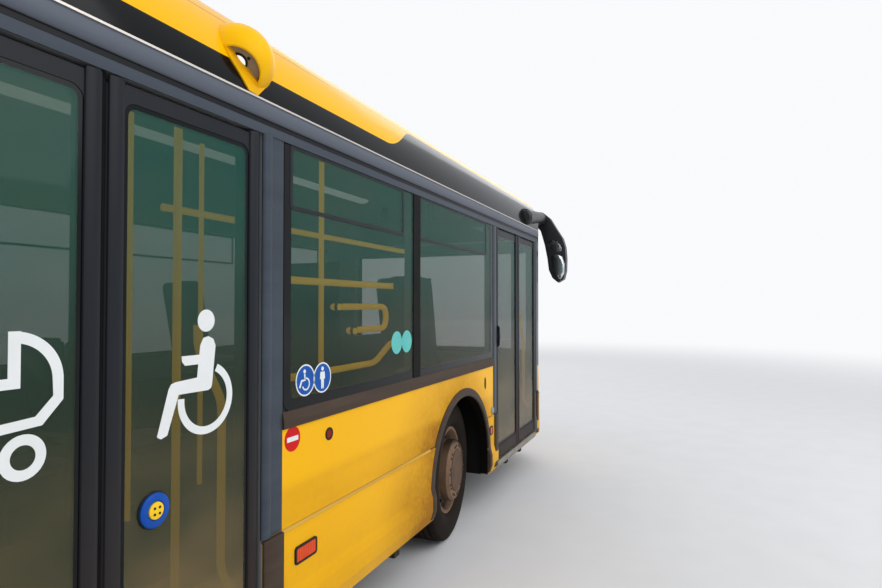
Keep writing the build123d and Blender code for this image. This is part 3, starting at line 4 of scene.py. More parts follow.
import bpy
import bmesh
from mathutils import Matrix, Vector


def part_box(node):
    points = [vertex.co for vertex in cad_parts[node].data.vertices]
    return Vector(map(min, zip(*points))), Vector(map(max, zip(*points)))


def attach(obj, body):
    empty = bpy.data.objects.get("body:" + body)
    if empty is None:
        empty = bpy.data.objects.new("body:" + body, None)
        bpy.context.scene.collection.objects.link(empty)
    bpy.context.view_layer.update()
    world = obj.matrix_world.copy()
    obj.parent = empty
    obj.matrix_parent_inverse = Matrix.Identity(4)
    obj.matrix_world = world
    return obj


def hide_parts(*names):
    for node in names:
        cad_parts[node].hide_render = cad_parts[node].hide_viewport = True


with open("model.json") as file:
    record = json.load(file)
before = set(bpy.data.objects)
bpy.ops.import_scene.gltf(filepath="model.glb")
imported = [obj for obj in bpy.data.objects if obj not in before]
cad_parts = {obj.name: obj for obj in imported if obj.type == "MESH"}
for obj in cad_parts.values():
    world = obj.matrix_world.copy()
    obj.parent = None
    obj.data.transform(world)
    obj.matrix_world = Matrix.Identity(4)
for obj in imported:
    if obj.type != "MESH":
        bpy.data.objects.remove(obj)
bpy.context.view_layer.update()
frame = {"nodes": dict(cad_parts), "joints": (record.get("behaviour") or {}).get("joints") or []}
scene = bpy.context.scene

# The bus as the photograph sees it: from the pavement beside the middle door, at eye
# height, looking forward along the right side through a wide lens.
beam_low, beam_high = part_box("front_axle")
AXLE_X = (beam_low.x + beam_high.x) / 2
SIDE_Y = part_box("side_wall_right")[0].y
WALL = abs(SIDE_Y)
EYE_BEHIND_AXLE = 3.878
EYE_FROM_SIDE = 1.481
EYE_HEIGHT = 1.649
HEADING = math.radians(23.11)
PITCH = math.radians(1.07)


def along(x):
    """Place on the bus of a distance forward of the front axle."""
    return AXLE_X + x


camera = bpy.data.objects.new("camera", bpy.data.cameras.new("camera"))
scene.collection.objects.link(camera)
camera.data.sensor_width = 36.0
camera.data.lens = 24.0
camera.data.clip_start = 0.05
camera.data.clip_end = 200.0
camera.location = (along(-EYE_BEHIND_AXLE), SIDE_Y - EYE_FROM_SIDE, EYE_HEIGHT)
camera.rotation_euler = (math.pi / 2 + PITCH, 0, HEADING - math.pi / 2)
scene.camera = camera


# Studio. A pale seamless floor, a white surround and large soft lamps: one high over the
# pavement side, one over the far side and one high at each end.
def tint(red, green, blue):
    """Colour for a shader from what a screen shows, each part from 0 to 255."""
    shown = [part / 255 for part in (red, green, blue)]
    return (*(v / 12.92 if v <= 0.04045 else ((v + 0.055) / 1.055) ** 2.4 for v in shown), 1.0)


class Field:
    """A number or colour that changes over a surface, held as the socket that gives it."""

    def __init__(self, finish, socket):
        self.finish = finish
        self.socket = socket

    def worked(self, operation, first, second):
        return self.finish.node("Math", {"operation": operation}, {0: first, 1: second})

    def __add__(self, other):
        return self.worked("ADD", self, other)

    def __sub__(self, other):
        return self.worked("SUBTRACT", self, other)

    def __rsub__(self, other):
        return self.worked("SUBTRACT", other, self)

    def __mul__(self, other):
        return self.worked("MULTIPLY", self, other)

    def __pow__(self, other):
        return self.worked("POWER", self, other)

    def __abs__(self):
        return self.worked("ABSOLUTE", self, 0.0)

    def least(self, other):
        return self.worked("MINIMUM", self, other)

    def most(self, other):
        return self.worked("MAXIMUM", self, other)

    def wave(self, pitch):
        """Swings between -1 and 1 once in every pitch."""
        return self.finish.node("Math", {"operation": "SINE"}, {0: self * (2 * math.pi / pitch)})

    def rise(self, start, end):
        """0 at start, 1 at end and beyond, with a soft step between."""
        return self.finish.node("MapRange", {"interpolation_type": "SMOOTHSTEP"},
                                {"Value": self, "From Min": start, "From Max": end})

    def within(self, low, high, soft=0.002):
        """1 between low and high and 0 outside."""
        return self.rise(low - soft, low + soft) * (1 - self.rise(high - soft, high + soft))


# How strongly a finish reflects at a steep angle, where nothing else is said.
SHEEN = 0.18


class Finish:
    """One finish: a material whose look is written as expressions over its surface."""

    def __init__(self, name, **constants):
        self.material = bpy.data.materials.new(name)
        self.material.use_nodes = True
        self.tree = self.material.node_tree
        self.skin = self.tree.nodes["Principled BSDF"]
        self.spot = self.node("TexCoord", take="Object")
        self.wear(Specular_IOR_Level=SHEEN)
        self.wear(**constants)

    def node(self, kind, settings=None, sockets=None, take=0):
        made = self.tree.nodes.new("ShaderNode" + kind)
        for setting, value in (settings or {}).items():
            setattr(made, setting, value)
        for socket, value in (sockets or {}).items():
            self.give(made.inputs[socket], value)
        return Field(self, made.outputs[take])

    def give(self, socket, value):
        if isinstance(value, Field):
            self.tree.links.new(value.socket, socket)
        else:
            socket.default_value = value

    def wear(self, **looks):
        """Gives the finish its colour, roughness, normal and the like, fixed or changing."""
        for name, value in looks.items():
            self.give(self.skin.inputs[name.replace("_", " ")], value)
        return self

    def parts(self, vector):
        return [self.node("SeparateXYZ", sockets={0: vector}, take=i) for i in range(3)]

    def place(self):
        """The three parts of a point's place on the bus."""
        return self.parts(self.spot)

    def scaled(self, vector, sizes):
        return self.node("VectorMath", {"operation": "MULTIPLY"}, {0: vector, 1: sizes})

    def mottle(self, scale, detail=3.0, stretch=None):
        """Cloudy noise between 0 and 1, with scale as spots to the metre."""
        spot = self.scaled(self.spot, stretch) if stretch else self.spot
        return self.node("TexNoise", sockets={"Vector": spot, "Scale": scale, "Detail": detail})

    def mixed(self, share, low, high):
        """Colour that goes from low to high with share."""
        return self.node("Mix", {"data_type": "RGBA"}, {0: share, 6: low, 7: high}, take=2)

    def relief(self, height, depth, strength=1.0):
        """Bump from a height between 0 and 1 that is depth metres deep."""
        return self.node("Bump", sockets={"Height": height, "Distance": depth, "Strength": strength})

    def ribbed(self, across, pitch, depth, strength):
        """Gives the finish round ribs, one in every pitch of the way across them."""
        return self.wear(Normal=self.relief(across.wave(pitch) * 0.5 + 0.5, depth, strength))


BACKDROP = (0.95, 0.96, 0.98, 1.0)
FADE_FROM = 7.0
FADE_TO = 17.0
FADE_STRETCH = 0.6
FLOOR_REACH = 60.0
floor_finish = Finish("studio_floor", Roughness=0.85)
x, y, z = floor_finish.place()
floor_tone = floor_finish.mixed(floor_finish.mottle(3.0), tint(222, 222, 222), tint(230, 230, 230))
floor_finish.wear(Base_Color=floor_tone)
lengthways = x * FADE_STRETCH
far_off = ((lengthways * lengthways + y * y) ** 0.5).rise(FADE_FROM, FADE_TO)
glow = floor_finish.node("Emission", sockets={"Color": BACKDROP, "Strength": 1.0})
skin = Field(floor_finish, floor_finish.skin.outputs[0])
faded = floor_finish.node("MixShader", sockets={0: far_off, 1: skin, 2: glow})
floor_finish.give(floor_finish.tree.nodes["Material Output"].inputs["Surface"], faded)
floor_mesh = bpy.data.meshes.new("studio_floor")
floor_corners = [(FLOOR_REACH * a, FLOOR_REACH * b, 0) for a, b in ((-1, -1), (1, -1), (1, 1), (-1, 1))]
floor_mesh.from_pydata(floor_corners, [], [(0, 1, 2, 3)])
floor_mesh.materials.append(floor_finish.material)
studio_floor = bpy.data.objects.new("studio_floor", floor_mesh)
scene.collection.objects.link(studio_floor)

world = bpy.data.worlds.new("surround")
world.use_nodes = True
scene.world = world
surround = world.node_tree.nodes["Background"]
surround.inputs["Color"].default_value = (0.93, 0.95, 1.0, 1.0)
surround.inputs["Strength"].default_value = 0.80
backdrop = world.node_tree.nodes.new("ShaderNodeBackground")
backdrop.inputs["Color"].default_value = BACKDROP
seen = world.node_tree.nodes.new("ShaderNodeLightPath")
chosen = world.node_tree.nodes.new("ShaderNodeMixShader")
links = world.node_tree.links
links.new(seen.outputs["Is Camera Ray"], chosen.inputs["Fac"])
links.new(surround.outputs[0], chosen.inputs[1])
links.new(backdrop.outputs[0], chosen.inputs[2])
links.new(chosen.outputs[0], world.node_tree.nodes["World Output"].inputs["Surface"])

# Each lamp has its place, the place it looks at, its width and its power.
LAMPS = {
    "over_pavement": ((2.0, -9.0, 7.5), (0.5, -1.0, 1.2), 9.0, 420.0),
    "over_far_side": ((-1.0, 9.0, 8.0), (0.0, 1.0, 1.2), 9.0, 300.0),
    "over_front": ((14.0, 3.0, 7.0), (5.0, 0.0, 1.4), 8.0, 150.0),
    "over_rear": ((-15.0, 0.0, 7.0), (-5.0, 0.0, 1.4), 7.0, 220.0),
}
for name, (at, towards, width, power) in LAMPS.items():
    lamp = bpy.data.objects.new(name, bpy.data.lights.new(name, "AREA"))
    lamp.data.size = width
    lamp.data.energy = power
    lamp.location = at
    lamp.rotation_mode = "QUATERNION"
    lamp.rotation_quaternion = (Vector(towards) - Vector(at)).to_track_quat("-Z", "Y")
    scene.collection.objects.link(lamp)
scene.view_settings.view_transform = "Standard"

# Body shell. Aluminium and steel sheet bonded to a welded frame, sprayed golden yellow.
# Above the belt the sides are dark, and a black gloss band runs along the roof's edge
# and widens at the front. Road dust lies low down and round the wheel arches.
BELT_TOP = 1.162
DRIP_LINE = 2.420
BAND_TOP = 2.525
BAND_SWEEP_FROM = along(-1.10)
BAND_SWEEP_TO = along(-0.59)
BAND_REACH = 0.26
COVE_SEAM = 2.707
SKIRT_TOP = 0.765
NOSE_FOOT, NOSE_HEAD = 1.02, 2.70
CABIN_MIDDLE = (0.0, 0.0, 1.45)
WHEEL_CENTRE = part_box("front_tyre_right")[1].z / 2
REAR_AXLE_X = sum(v.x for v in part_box("rear_axle")) / 2
CAP_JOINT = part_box("front_cap")[0].x
TAIL_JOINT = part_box("rear_cap")[1].x


def dress(finish, *nodes):
    """Gives CAD nodes their finish."""
    for name in nodes:
        mesh = frame["nodes"][name].data
        mesh.materials.clear()
        mesh.materials.append(finish.material)


def from_axle(x, z, axle):
    """How far a point lies behind an axle, and from its middle in any direction."""
    away = x - axle
    return away, (away * away + (z - WHEEL_CENTRE) * (z - WHEEL_CENTRE)) ** 0.5


def road_dust(finish, x, z):
    """Dust and spray: thick at the skirt's foot and behind each wheel, thin above."""
    cloud = finish.mottle(2.2, 6.0)
    specks = finish.mottle(38.0, 3.0)
    low_down = 1 - z.rise(0.30, 0.95)
    sprayed = []
    for axle in (AXLE_X, REAR_AXLE_X):
        away, reach = from_axle(x, z, axle)
        sprayed.append(1 - (reach + away * 0.25).rise(0.45, 0.95))
    arch = sprayed[0].most(sprayed[1])
    over_seam = z.within(SKIRT_TOP - 0.01, SKIRT_TOP + 0.16, 0.03) * finish.mottle(1.1, 4.0, (1, 1, 4))
    laid = low_down * 0.38 + arch * 0.95 + over_seam * 0.70
    return (laid * (cloud * 1.1 + specks * 0.35 - 0.12)).least(0.85).most(0.0)


yellow = Finish("body_yellow", Coat_Roughness=0.12, Specular_IOR_Level=0.08)
x, y, z = yellow.place()
facing = yellow.node("NewGeometry", take="Normal")
from_middle = yellow.node("VectorMath", {"operation": "SUBTRACT"}, {0: yellow.spot, 1: CABIN_MIDDLE})
flattened = yellow.scaled(from_middle, (0.2, 1.0, 1.0))
outwardness = yellow.node("VectorMath", {"operation": "DOT_PRODUCT"}, {0: facing, 1: flattened}, "Value")
inside = 1 - outwardness.rise(-0.06, -0.02)
dust = road_dust(yellow, x, z)
enamel = yellow.mixed(yellow.mottle(0.9, 2.0), tint(252, 190, 0), tint(246, 180, 0))
soiled = yellow.mixed(dust, enamel, tint(142, 92, 34))
band_edge = x.rise(BAND_SWEEP_FROM, BAND_SWEEP_TO) * (COVE_SEAM - BAND_TOP) + BAND_TOP
on_side = abs(y).rise(WALL - BAND_REACH, WALL - BAND_REACH + 0.005)
on_wall = on_side * x.rise(TAIL_JOINT - 0.002, TAIL_JOINT)
below_edge = 1 - (z - band_edge).rise(-0.0015, 0.0015)
band = below_edge * z.rise(DRIP_LINE - 0.008, DRIP_LINE - 0.004) * on_wall
above_belt = z.within(BELT_TOP + 0.02, DRIP_LINE - 0.006, 0.001) * on_wall
nose_mask = x.rise(CAP_JOINT - 0.001, CAP_JOINT + 0.001) * z.within(NOSE_FOOT, NOSE_HEAD, 0.001)
dark = band.most(above_belt).most(nose_mask)
gloss_black = yellow.mixed(yellow.mottle(1.7), tint(9, 10, 11), tint(16, 17, 18))
# Dark lines: the cove seam is a dark joint; the line at the skirt top is painted shade in the gap over the
# ledge.
seam = 1 - abs(z - COVE_SEAM).rise(0.0012, 0.0030)
skirt_gap_shade = 1 - abs(z - SKIRT_TOP).rise(0.0020, 0.0045)
seams_and_gap_shade = seam.most(skirt_gap_shade * on_side)
coloured = yellow.mixed(dark, soiled, gloss_black)
lining = yellow.mixed(yellow.mottle(5.0, 3.0), tint(120, 124, 124), tint(140, 144, 142))
outside = yellow.mixed(seams_and_gap_shade * 0.8, coloured, tint(60, 44, 14))
yellow.wear(
    Base_Color=yellow.mixed(inside, outside, lining),
    Roughness=((dust * 0.55 + 0.22).least(0.85) - dark * 0.12).most(inside * 0.6),
    Coat_Weight=((0.10 - dust * 0.2).most(0.0) + dark * 0.05) * (1 - inside),
    Normal=yellow.relief(yellow.mottle(2.4, 1.0) * 0.6 + yellow.mottle(420.0, 1.0) * 0.004, 0.0035, 0.5),
)
dress(yellow, "side_wall_left", "side_wall_right", "skirt_left", "skirt_right", "roof", "front_cap",
      "rear_cap", "front_bumper", "rear_bumper", "engine_flap")


# Side windows. Toughened tinted panes bonded to the frame, each with a black ceramic
# border that hides the adhesive. Trim covers the joints between neighbouring panes.
def circle(steps):
    """Angles of equal steps round a circle."""
    return [2 * math.pi * k / steps for k in range(steps)]


def round_axis(axis):
    """Function that gives the direction at an angle round an axis."""
    across = axis.orthogonal().normalized()
    over = axis.cross(across)
    return lambda t: across * math.cos(t) + over * math.sin(t)


class Form:
    """Points and faces of a piece while it is being made."""

    def __init__(self):
        self.points = []
        self.faces = []

    def skin(self, rows, closed=True):
        """Joins rows of points with faces, the rows being closed round or open strips."""
        start = len(self.points)
        width = len(rows[0])
        for row in rows:
            self.points.extend(tuple(p) for p in row)
        for r in range(len(rows) - 1):
            for i in range(width if closed else width - 1):
                a = start + r * width + i
                b = start + r * width + (i + 1) % width
                self.faces.append((a, b, b + width, a + width))
        return self

    def cap(self, row):
        start = len(self.points)
        self.points.extend(tuple(p) for p in row)
        self.faces.append(tuple(range(start, start + len(row))))

    def solid(self, rows):
        """Skin over closed rows with a face at each end."""
        self.skin(rows)
        self.cap(rows[0])
        self.cap(rows[-1])
        return self

    def prism(self, outline, start, end, put):
        """Solid of one outline from start to end; put(a, b, c) gives a point's place."""
        return self.solid([[put(a, b, c) for a, b in outline] for c in (start, end)])

    def hoop(self, outer, inner, low, high, put):
        """Flat frame between two outlines that have the same number of points."""
        edges = ((outer, low), (outer, high), (inner, high), (inner, low), (outer, low))
        return self.skin([[put(a, b, c) for a, b in outline] for outline, c in edges])

    def tube(self, path, radius, sides=12, ends=True):
        """Round tube along a line of points; radius is one number or one for each point."""
        path = [Vector(p) for p in path]
        radii = radius if isinstance(radius, list) else [radius] * len(path)
        rows = []
        across = None
        for i, p in enumerate(path):
            ahead = (path[min(i + 1, len(path) - 1)] - path[max(i - 1, 0)]).normalized()
            if across is None:
                across = ahead.orthogonal().normalized()
            across = (across - ahead * across.dot(ahead)).normalized()
            over = ahead.cross(across)
            rows.append([p + (across * math.cos(t) + over * math.sin(t)) * radii[i] for t in circle(sides)])
        return self.solid(rows) if ends else self.skin(rows)

    def turned(self, profile, centre, axis, steps=32, closed=False):
        """Turned shape: profile is radius against distance along the axis."""
        centre = Vector(centre)
        axis = Vector(axis).normalized()
        outwards = round_axis(axis)
        rows = [[centre + axis * n + outwards(t) * r for t in circle(steps)] for r, n in profile]
        return self.skin(rows + rows[:1]) if closed else self.solid(rows)

    def made(self, name, finish, body="bus_body", slot="black_trim", smooth=40.0, bevel=0.0, stands_for=()):
        """Turns the form into a piece that rides on a body."""
        mesh = bpy.data.meshes.new(name)
        mesh.from_pydata(self.points, [], self.faces)
        shape = bmesh.new()
        shape.from_mesh(mesh)
        bmesh.ops.remove_doubles(shape, verts=shape.verts, dist=1e-6)
        bmesh.ops.recalc_face_normals(shape, faces=shape.faces)
        shape.to_mesh(mesh)
        shape.free()
        for face in mesh.polygons:
            face.use_smooth = True
        mesh.set_sharp_from_angle(angle=math.radians(smooth))
        mesh.materials.append(finish.material)
        piece = bpy.data.objects.new(name, mesh)
        scene.collection.objects.link(piece)
        if bevel:
            rounding = piece.modifiers.new("rounded_edges", "BEVEL")
            rounding.width = bevel
            rounding.segments = 2
            rounding.limit_method = "ANGLE"
            rounding.angle_limit = math.radians(35)
        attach(piece, body)
        if stands_for:
            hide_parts(*stands_for)
        return piece


def rounded(x_low, x_high, z_low, z_high, radius, steps=6):
    """Outline of a rectangle with round corners."""
    outline = []
    corners = ((x_high - radius, z_high - radius), (x_low + radius, z_high - radius),
               (x_low + radius, z_low + radius), (x_high - radius, z_low + radius))
    for quarter, (x, z) in enumerate(corners):
        for k in range(steps + 1):
            turn = math.radians(90 * quarter + 90 * k / steps)
            outline.append((x + radius * math.cos(turn), z + radius * math.sin(turn)))
    return outline


def disc(x, z, radius, steps=28):
    return [(x + radius * math.cos(t), z + radius * math.sin(t)) for t in circle(steps)]


def beside(side):
    """Places points by where they lie along the bus, their height and how far out they stand."""
    return lambda x, z, out: (x, side * (WALL + out), z)


def running(side):
    """Places a section, given as distance out and height, along the bus."""
    return lambda out, z, x: (x, side * (WALL + out), z)


def upright(out, run, z):
    """Places a section, given as distance out and along the right side, at a height."""
    return (run, -(WALL + out), z)


def solids_of(node):
    """Lowest and highest corners of each separate solid in a CAD node, from rear to front."""
    mesh = frame["nodes"][node].data
    owner = {}

    def root(key):
        while owner[key] != key:
            owner[key] = owner[owner[key]]
            key = owner[key]
        return key

    keys = [tuple(round(c, 4) for c in v.co) for v in mesh.vertices]
    for key in keys:
        owner.setdefault(key, key)
    for face in mesh.polygons:
        first = root(keys[face.vertices[0]])
        for index in face.vertices[1:]:
            owner[root(keys[index])] = first
    groups = {}
    for key in keys:
        groups.setdefault(root(key), []).append(key)
    corners = [(Vector(map(min, *spots)), Vector(map(max, *spots))) for spots in groups.values()]
    return sorted(corners, key=lambda pair: pair[0].x)


def tinted_glass(name, base, cover):
    """Coloured glass that hides cover of what is behind it, with a trace of road film."""
    glass = Finish(name, Specular_IOR_Level=0.16)
    x, y, z = glass.place()
    film = glass.mottle(1.6, 4.0, (1, 1, 2.2)) * (1.25 - z.rise(0.6, 1.5))
    # Painted reflection: the tint turns a lighter teal from 1.30 m to 2.00 m up.
    tint_and_painted_reflection = glass.mixed(z.rise(1.30, 2.00), base, tint(0, 86, 78))
    return glass.wear(
        Base_Color=glass.mixed(film * 0.90, tint_and_painted_reflection, tint(140, 116, 78)),
        Alpha=(film * 0.35 + cover).least(1.0),
        Roughness=film * 0.08 + 0.02,
    )


def grained(name, dark, light, clouds, gloss, grain=None, **constants):
    """Finish of two close tones: clouds are the tone's spots and detail, gloss the roughness'
    spread and least, then its spots if it has its own, grain a relief's depth and strength,
    then its spots."""
    finish = Finish(name, **constants)
    tone = finish.mottle(*clouds)
    spread, least, *spots = gloss
    rough = finish.mottle(*spots) if spots else tone
    finish.wear(Base_Color=finish.mixed(tone, dark, light), Roughness=rough * spread + least)
    if grain:
        depth, strength, *spots = grain
        finish.wear(Normal=finish.relief(finish.mottle(*spots), depth, strength))
    return finish


SIDES = ((1, "left"), (-1, "right"))
PANE_CORNER = 0.045
CLEAR_CORNER = 0.030
CLEAR_INSET = (0.045, 0.042, 0.038)
side_glass = tinted_glass("tinted_side_glass", tint(2, 48, 40), 0.42)
ceramic = grained("ceramic_border", tint(8, 10, 11), tint(14, 17, 18), (9.0,), (0.10, 0.06, 14.0))
for side, word in SIDES:
    node = f"side_windows_{word}"
    glass, border = Form(), Form()
    for low, high in solids_of(node):
        faces = sorted(abs(corner.y) - WALL for corner in (low, high))
        outer = rounded(low.x, high.x, low.z, high.z, PANE_CORNER - 0.004)
        inner = rounded(low.x + CLEAR_INSET[0], high.x - CLEAR_INSET[0], low.z + CLEAR_INSET[1],
                        high.z - CLEAR_INSET[2], CLEAR_CORNER)
        glass.prism(inner, *faces, beside(side))
        border.hoop(outer, inner, *faces, beside(side))
    glass.made(f"side_glass_{word}", side_glass, slot="tinted_glass", stands_for=(node,))
    border.made(f"side_glass_border_{word}", ceramic, slot="tinted_glass", stands_for=(node,))

# Rails along the sides. A rolled aluminium rail with a metal drip lip, its near-white colour a
# painted highlight line, closes the roof against the wall; a weathered plastic moulding covers the
# lower edge of the glass; black rubber strips cover the pane joints. All are clipped or bonded on.
profile_grey = Finish("profile_grey")
x, y, z = profile_grey.place()
streak = profile_grey.mottle(6.0, 4.0, (0.3, 0.3, 3.0))
# Painted highlight: the lip's outer face is coloured near white.
lip = z.within(2.4135, 2.4215, 0.0006)
groove = z.within(2.331, 2.350, 0.0012)
flat_grey = profile_grey.mixed(streak, tint(50, 57, 66), tint(70, 78, 88))
rail_colour = profile_grey.mixed(z.rise(2.346, 2.354), flat_grey, tint(88, 94, 104))
grooved = profile_grey.mixed(groove, rail_colour, tint(20, 21, 24))
profile_grey.wear(
    Base_Color=profile_grey.mixed(lip, grooved, tint(214, 206, 196)),
    Metallic=lip * 0.7,
    Roughness=streak * 0.16 + 0.30,
    Normal=profile_grey.relief(profile_grey.mottle(260.0, 2.0), 0.0006, 0.25),
)
trim_brown = grained("weathered_trim", tint(44, 36, 30), tint(86, 70, 57), (7.0, 5.0, (0.4, 0.4, 4.0)),
                     (0.2, 0.48), (0.0008, 0.4, 320.0, 2.0))
rubber = grained("door_rubber", tint(14, 14, 15), tint(30, 29, 28), (12.0, 4.0), (0.2, 0.6, 40.0),
                 Specular_IOR_Level=0.12)
CANTRAIL_SECTION = [(0.0, 2.294), (0.006, 2.294), (0.006, 2.328), (0.001, 2.333), (0.001, 2.348),
                    (0.009, 2.352), (0.016, 2.362), (0.018, 2.378), (0.017, 2.396), (0.011, 2.410),
                    (0.015, 2.4135), (0.015, 2.4205), (0.002, 2.4235), (-0.004, 2.420), (-0.004, 2.30)]
BELT_SECTION = [(-0.002, 1.160), (0.009, 1.160), (0.013, 1.168), (0.012, 1.196), (0.008, 1.212),
                (0.004, 1.226), (-0.002, 1.228)]
EDGE_GAP = 0.012
COVER_HALF = 0.046
COVER_FOOT, COVER_HEAD = 1.228, 2.296
PORTALS = [(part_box(f"{door}_rear_leaf")[0].x - EDGE_GAP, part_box(f"{door}_front_leaf")[1].x + EDGE_GAP)
           for door in ("mid_door", "front_door")]
(MID_REAR, MID_FRONT), (FRONT_REAR, FRONT_FRONT) = PORTALS
for side, word in SIDES:
    rail = Form().prism(CANTRAIL_SECTION, TAIL_JOINT, CAP_JOINT, running(side))
    rail.made(f"cantrail_{word}", profile_grey, slot="door_frame_grey")
    stops = [TAIL_JOINT, CAP_JOINT]
    if side < 0:
        stops = [TAIL_JOINT, MID_REAR - 0.076, MID_FRONT + 0.1195, FRONT_REAR - 0.080]
    belt = Form()
    for start, end in zip(stops[::2], stops[1::2]):
        belt.prism(BELT_SECTION, start, end, running(side))
    belt.made(f"belt_rail_{word}", trim_brown)
    covers = Form()
    panes = solids_of(f"side_windows_{word}")
    for (_, high), (next_low, _) in zip(panes, panes[1:]):
        if next_low.x - high.x < 0.05:
            middle = (high.x + next_low.x) / 2
            outline = rounded(middle - COVER_HALF, middle + COVER_HALF, COVER_FOOT, COVER_HEAD, 0.004, 2)
            covers.prism(outline, -0.010, 0.003, beside(side))
    covers.made(f"pane_joint_covers_{word}", rubber, slot="door_frame_grey", bevel=0.001)

# Tilting vents along the top of the long panes: black profile frames with their own
# clear lights, hinged at the bottom bar and bonded into the pane.
vent_black = grained("vent_profile", tint(24, 26, 29), tint(42, 45, 50), (20.0,), (0.15, 0.32, 30.0))
VENT_SILL = 2.034
VENT_BAR = 0.018
VENT_END = 0.155
LONG_PANE = 1.18
for side, word in SIDES:
    vents = Form()
    for low, high in solids_of(f"side_windows_{word}"):
        if high.x - low.x > LONG_PANE:
            rear, front = low.x + CLEAR_INSET[0] - 0.010, high.x - VENT_END
            top = high.z - CLEAR_INSET[2] + 0.008
            outer = rounded(rear, front, VENT_SILL, top, 0.020)
            inner = rounded(rear + VENT_BAR, front - VENT_BAR, VENT_SILL + VENT_BAR, top - VENT_BAR, 0.010)
            vents.hoop(outer, inner, -0.006, 0.001, beside(side))
    vents.made(f"window_vents_{word}", vent_black, bevel=0.0015)

# Door leaves. Each is a welded aluminium frame coated near black, with a rubber lip down
# its free edge and one tinted pane bonded into it behind a black printed border.
leaf_grey = Finish("leaf_coating")
x, y, z = leaf_grey.place()
streak = leaf_grey.mottle(5.0, 4.0, (1.0, 1.0, 0.15))
grime = (1 - z.rise(0.30, 1.55)) * (leaf_grey.mottle(9.0, 5.0) * 0.6 + 0.4)
flank = leaf_grey.mixed(streak, tint(20, 23, 28), tint(33, 37, 43))
leaf_grey.wear(
    Base_Color=leaf_grey.mixed(grime * 0.70, flank, tint(66, 50, 38)),
    Roughness=streak * 0.12 + 0.30 + grime * 0.3,
    Normal=leaf_grey.relief(leaf_grey.mottle(240.0, 2.0), 0.0005, 0.25),
)
door_glass = tinted_glass("tinted_door_glass", tint(4, 52, 44), 0.50)
# For each leaf, 1 where it hangs at its front edge and -1 where it hangs at its rear edge.
LEAVES = {"front_door_front": 1, "front_door_rear": -1, "mid_door_front": 1, "mid_door_rear": -1}
DOOR_BORDER = 0.014
DOOR_CORNER = 0.039
LEAF_FOOT = 0.392
KICK_TOP = 0.478
LIP_FOOT = 0.378
STILE_SECTION = [(-0.001, -0.026), (0.004, -0.024), (0.0075, -0.017), (0.009, -0.006), (0.009, 0.006),
                 (0.0075, 0.017), (0.004, 0.024), (-0.001, 0.026)]
LIP_SECTION = [(-0.014, 0.0), (-0.004, 0.0), (-0.001, 0.003), (0.0, 0.0045), (-0.004, 0.0046),
               (-0.014, 0.0046)]
right = beside(-1)
for name, way in LEAVES.items():
    low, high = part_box(f"{name}_leaf")
    pane_low, pane_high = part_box(f"{name}_glass")
    face = abs(low.y) - WALL
    pane_faces = (abs(pane_high.y) - WALL, abs(pane_low.y) - WALL)
    free, hung = (low.x, high.x) if way > 0 else (high.x, low.x)
    outer = rounded(pane_low.x, pane_high.x, pane_low.z, pane_high.z, DOOR_CORNER)
    inner = rounded(pane_low.x + DOOR_BORDER, pane_high.x - DOOR_BORDER, pane_low.z + DOOR_BORDER,
                    pane_high.z - DOOR_BORDER, DOOR_CORNER - 0.013)
    pane = Form().prism(inner, *pane_faces, right)
    pane.made(f"{name}_tint", door_glass, name, "tinted_glass", stands_for=(f"{name}_glass",))
    border = Form().hoop(outer, inner, *pane_faces, right)
    border.made(f"{name}_border", ceramic, name, "tinted_glass", stands_for=(f"{name}_glass",))
    stiles = Form()
    for middle in (free + way * 0.030, hung - way * 0.028):
        section = [(face + 0.0005 + out, middle + run) for out, run in STILE_SECTION]
        stiles.prism(section, LEAF_FOOT, high.z - 0.010, upright)
    stiles.made(f"{name}_stiles", leaf_grey, name, "door_frame_grey", bevel=0.0008)
    section = [(face + out, free - way * run) for out, run in LIP_SECTION]
    Form().prism(section, LIP_FOOT, high.z - 0.004, upright).made(f"{name}_lip", rubber, name)
    outline = rounded(low.x + 0.010, high.x - 0.010, LEAF_FOOT, KICK_TOP, 0.012)
    plate = Form().prism(outline, face - 0.004, face + 0.004, right)
    plate.made(f"{name}_kick_plate", leaf_grey, name, "door_frame_grey", bevel=0.0015)
    dress(leaf_grey, f"{name}_leaf")

# Frames of the two doorways. Ribbed drive covers close the top, folded grey posts stand at
# the sides on weathered plastic feet, and a worn metal sill lies at the foot.
header_finish = grained("ribbed_header", tint(62, 58, 60), tint(88, 84, 86), (4.0, 4.0, (0.5, 1, 3)),
                        (0.15, 0.35), Coat_Weight=0.15)
x, y, z = header_finish.place()
dress(header_finish.ribbed(z, 0.0135, 0.002, 0.6), "door_headers")
RIB_PITCH = 0.0125
RIB_SECTION = [(-0.012, 0.0), (-0.004, 0.002), (-0.002, 0.0055), (-0.004, 0.009), (-0.012, 0.011)]
BACK_SECTION = [(-0.056, 0.0), (-0.012, 0.0), (-0.012, 0.045), (-0.056, 0.045)]
HEADER_FOOT = 2.303
SILL_SECTION = [(-0.058, 0.312), (0.0, 0.312), (0.004, 0.320), (0.004, 0.352), (-0.002, 0.361),
                (-0.058, 0.361)]
sill_finish = grained("door_sill", tint(120, 112, 100), tint(176, 170, 158), (14.0, 5.0, (1, 3, 1)),
                      (0.3, 0.35), Metallic=0.6)
ribs, sills = Form(), Form()
for rear, front in PORTALS:
    pieces = [(RIB_SECTION, 0.004 + k * RIB_PITCH) for k in range(3)] + [(BACK_SECTION, 0.0)]
    for shape, lift in pieces:
        section = [(out, HEADER_FOOT + lift + level) for out, level in shape]
        ribs.prism(section, rear + 0.004, front - 0.004, running(-1))
    sills.prism(SILL_SECTION, rear + 0.002, front - 0.002, running(-1))
ribs.made("portal_headers", profile_grey, slot="door_frame_grey")
WIDE_FACE = [(0.0, 0.000), (0.006, 0.003), (0.011, 0.012), (0.012, 0.027), (0.011, 0.042), (0.006, 0.052),
             (0.002, 0.055), (0.002, 0.121), (-0.004, 0.123), (-0.004, 0.0)]
SKIRT_CLEAR = 0.770
POST_TOP = 2.296
POST_FOOT = 0.345


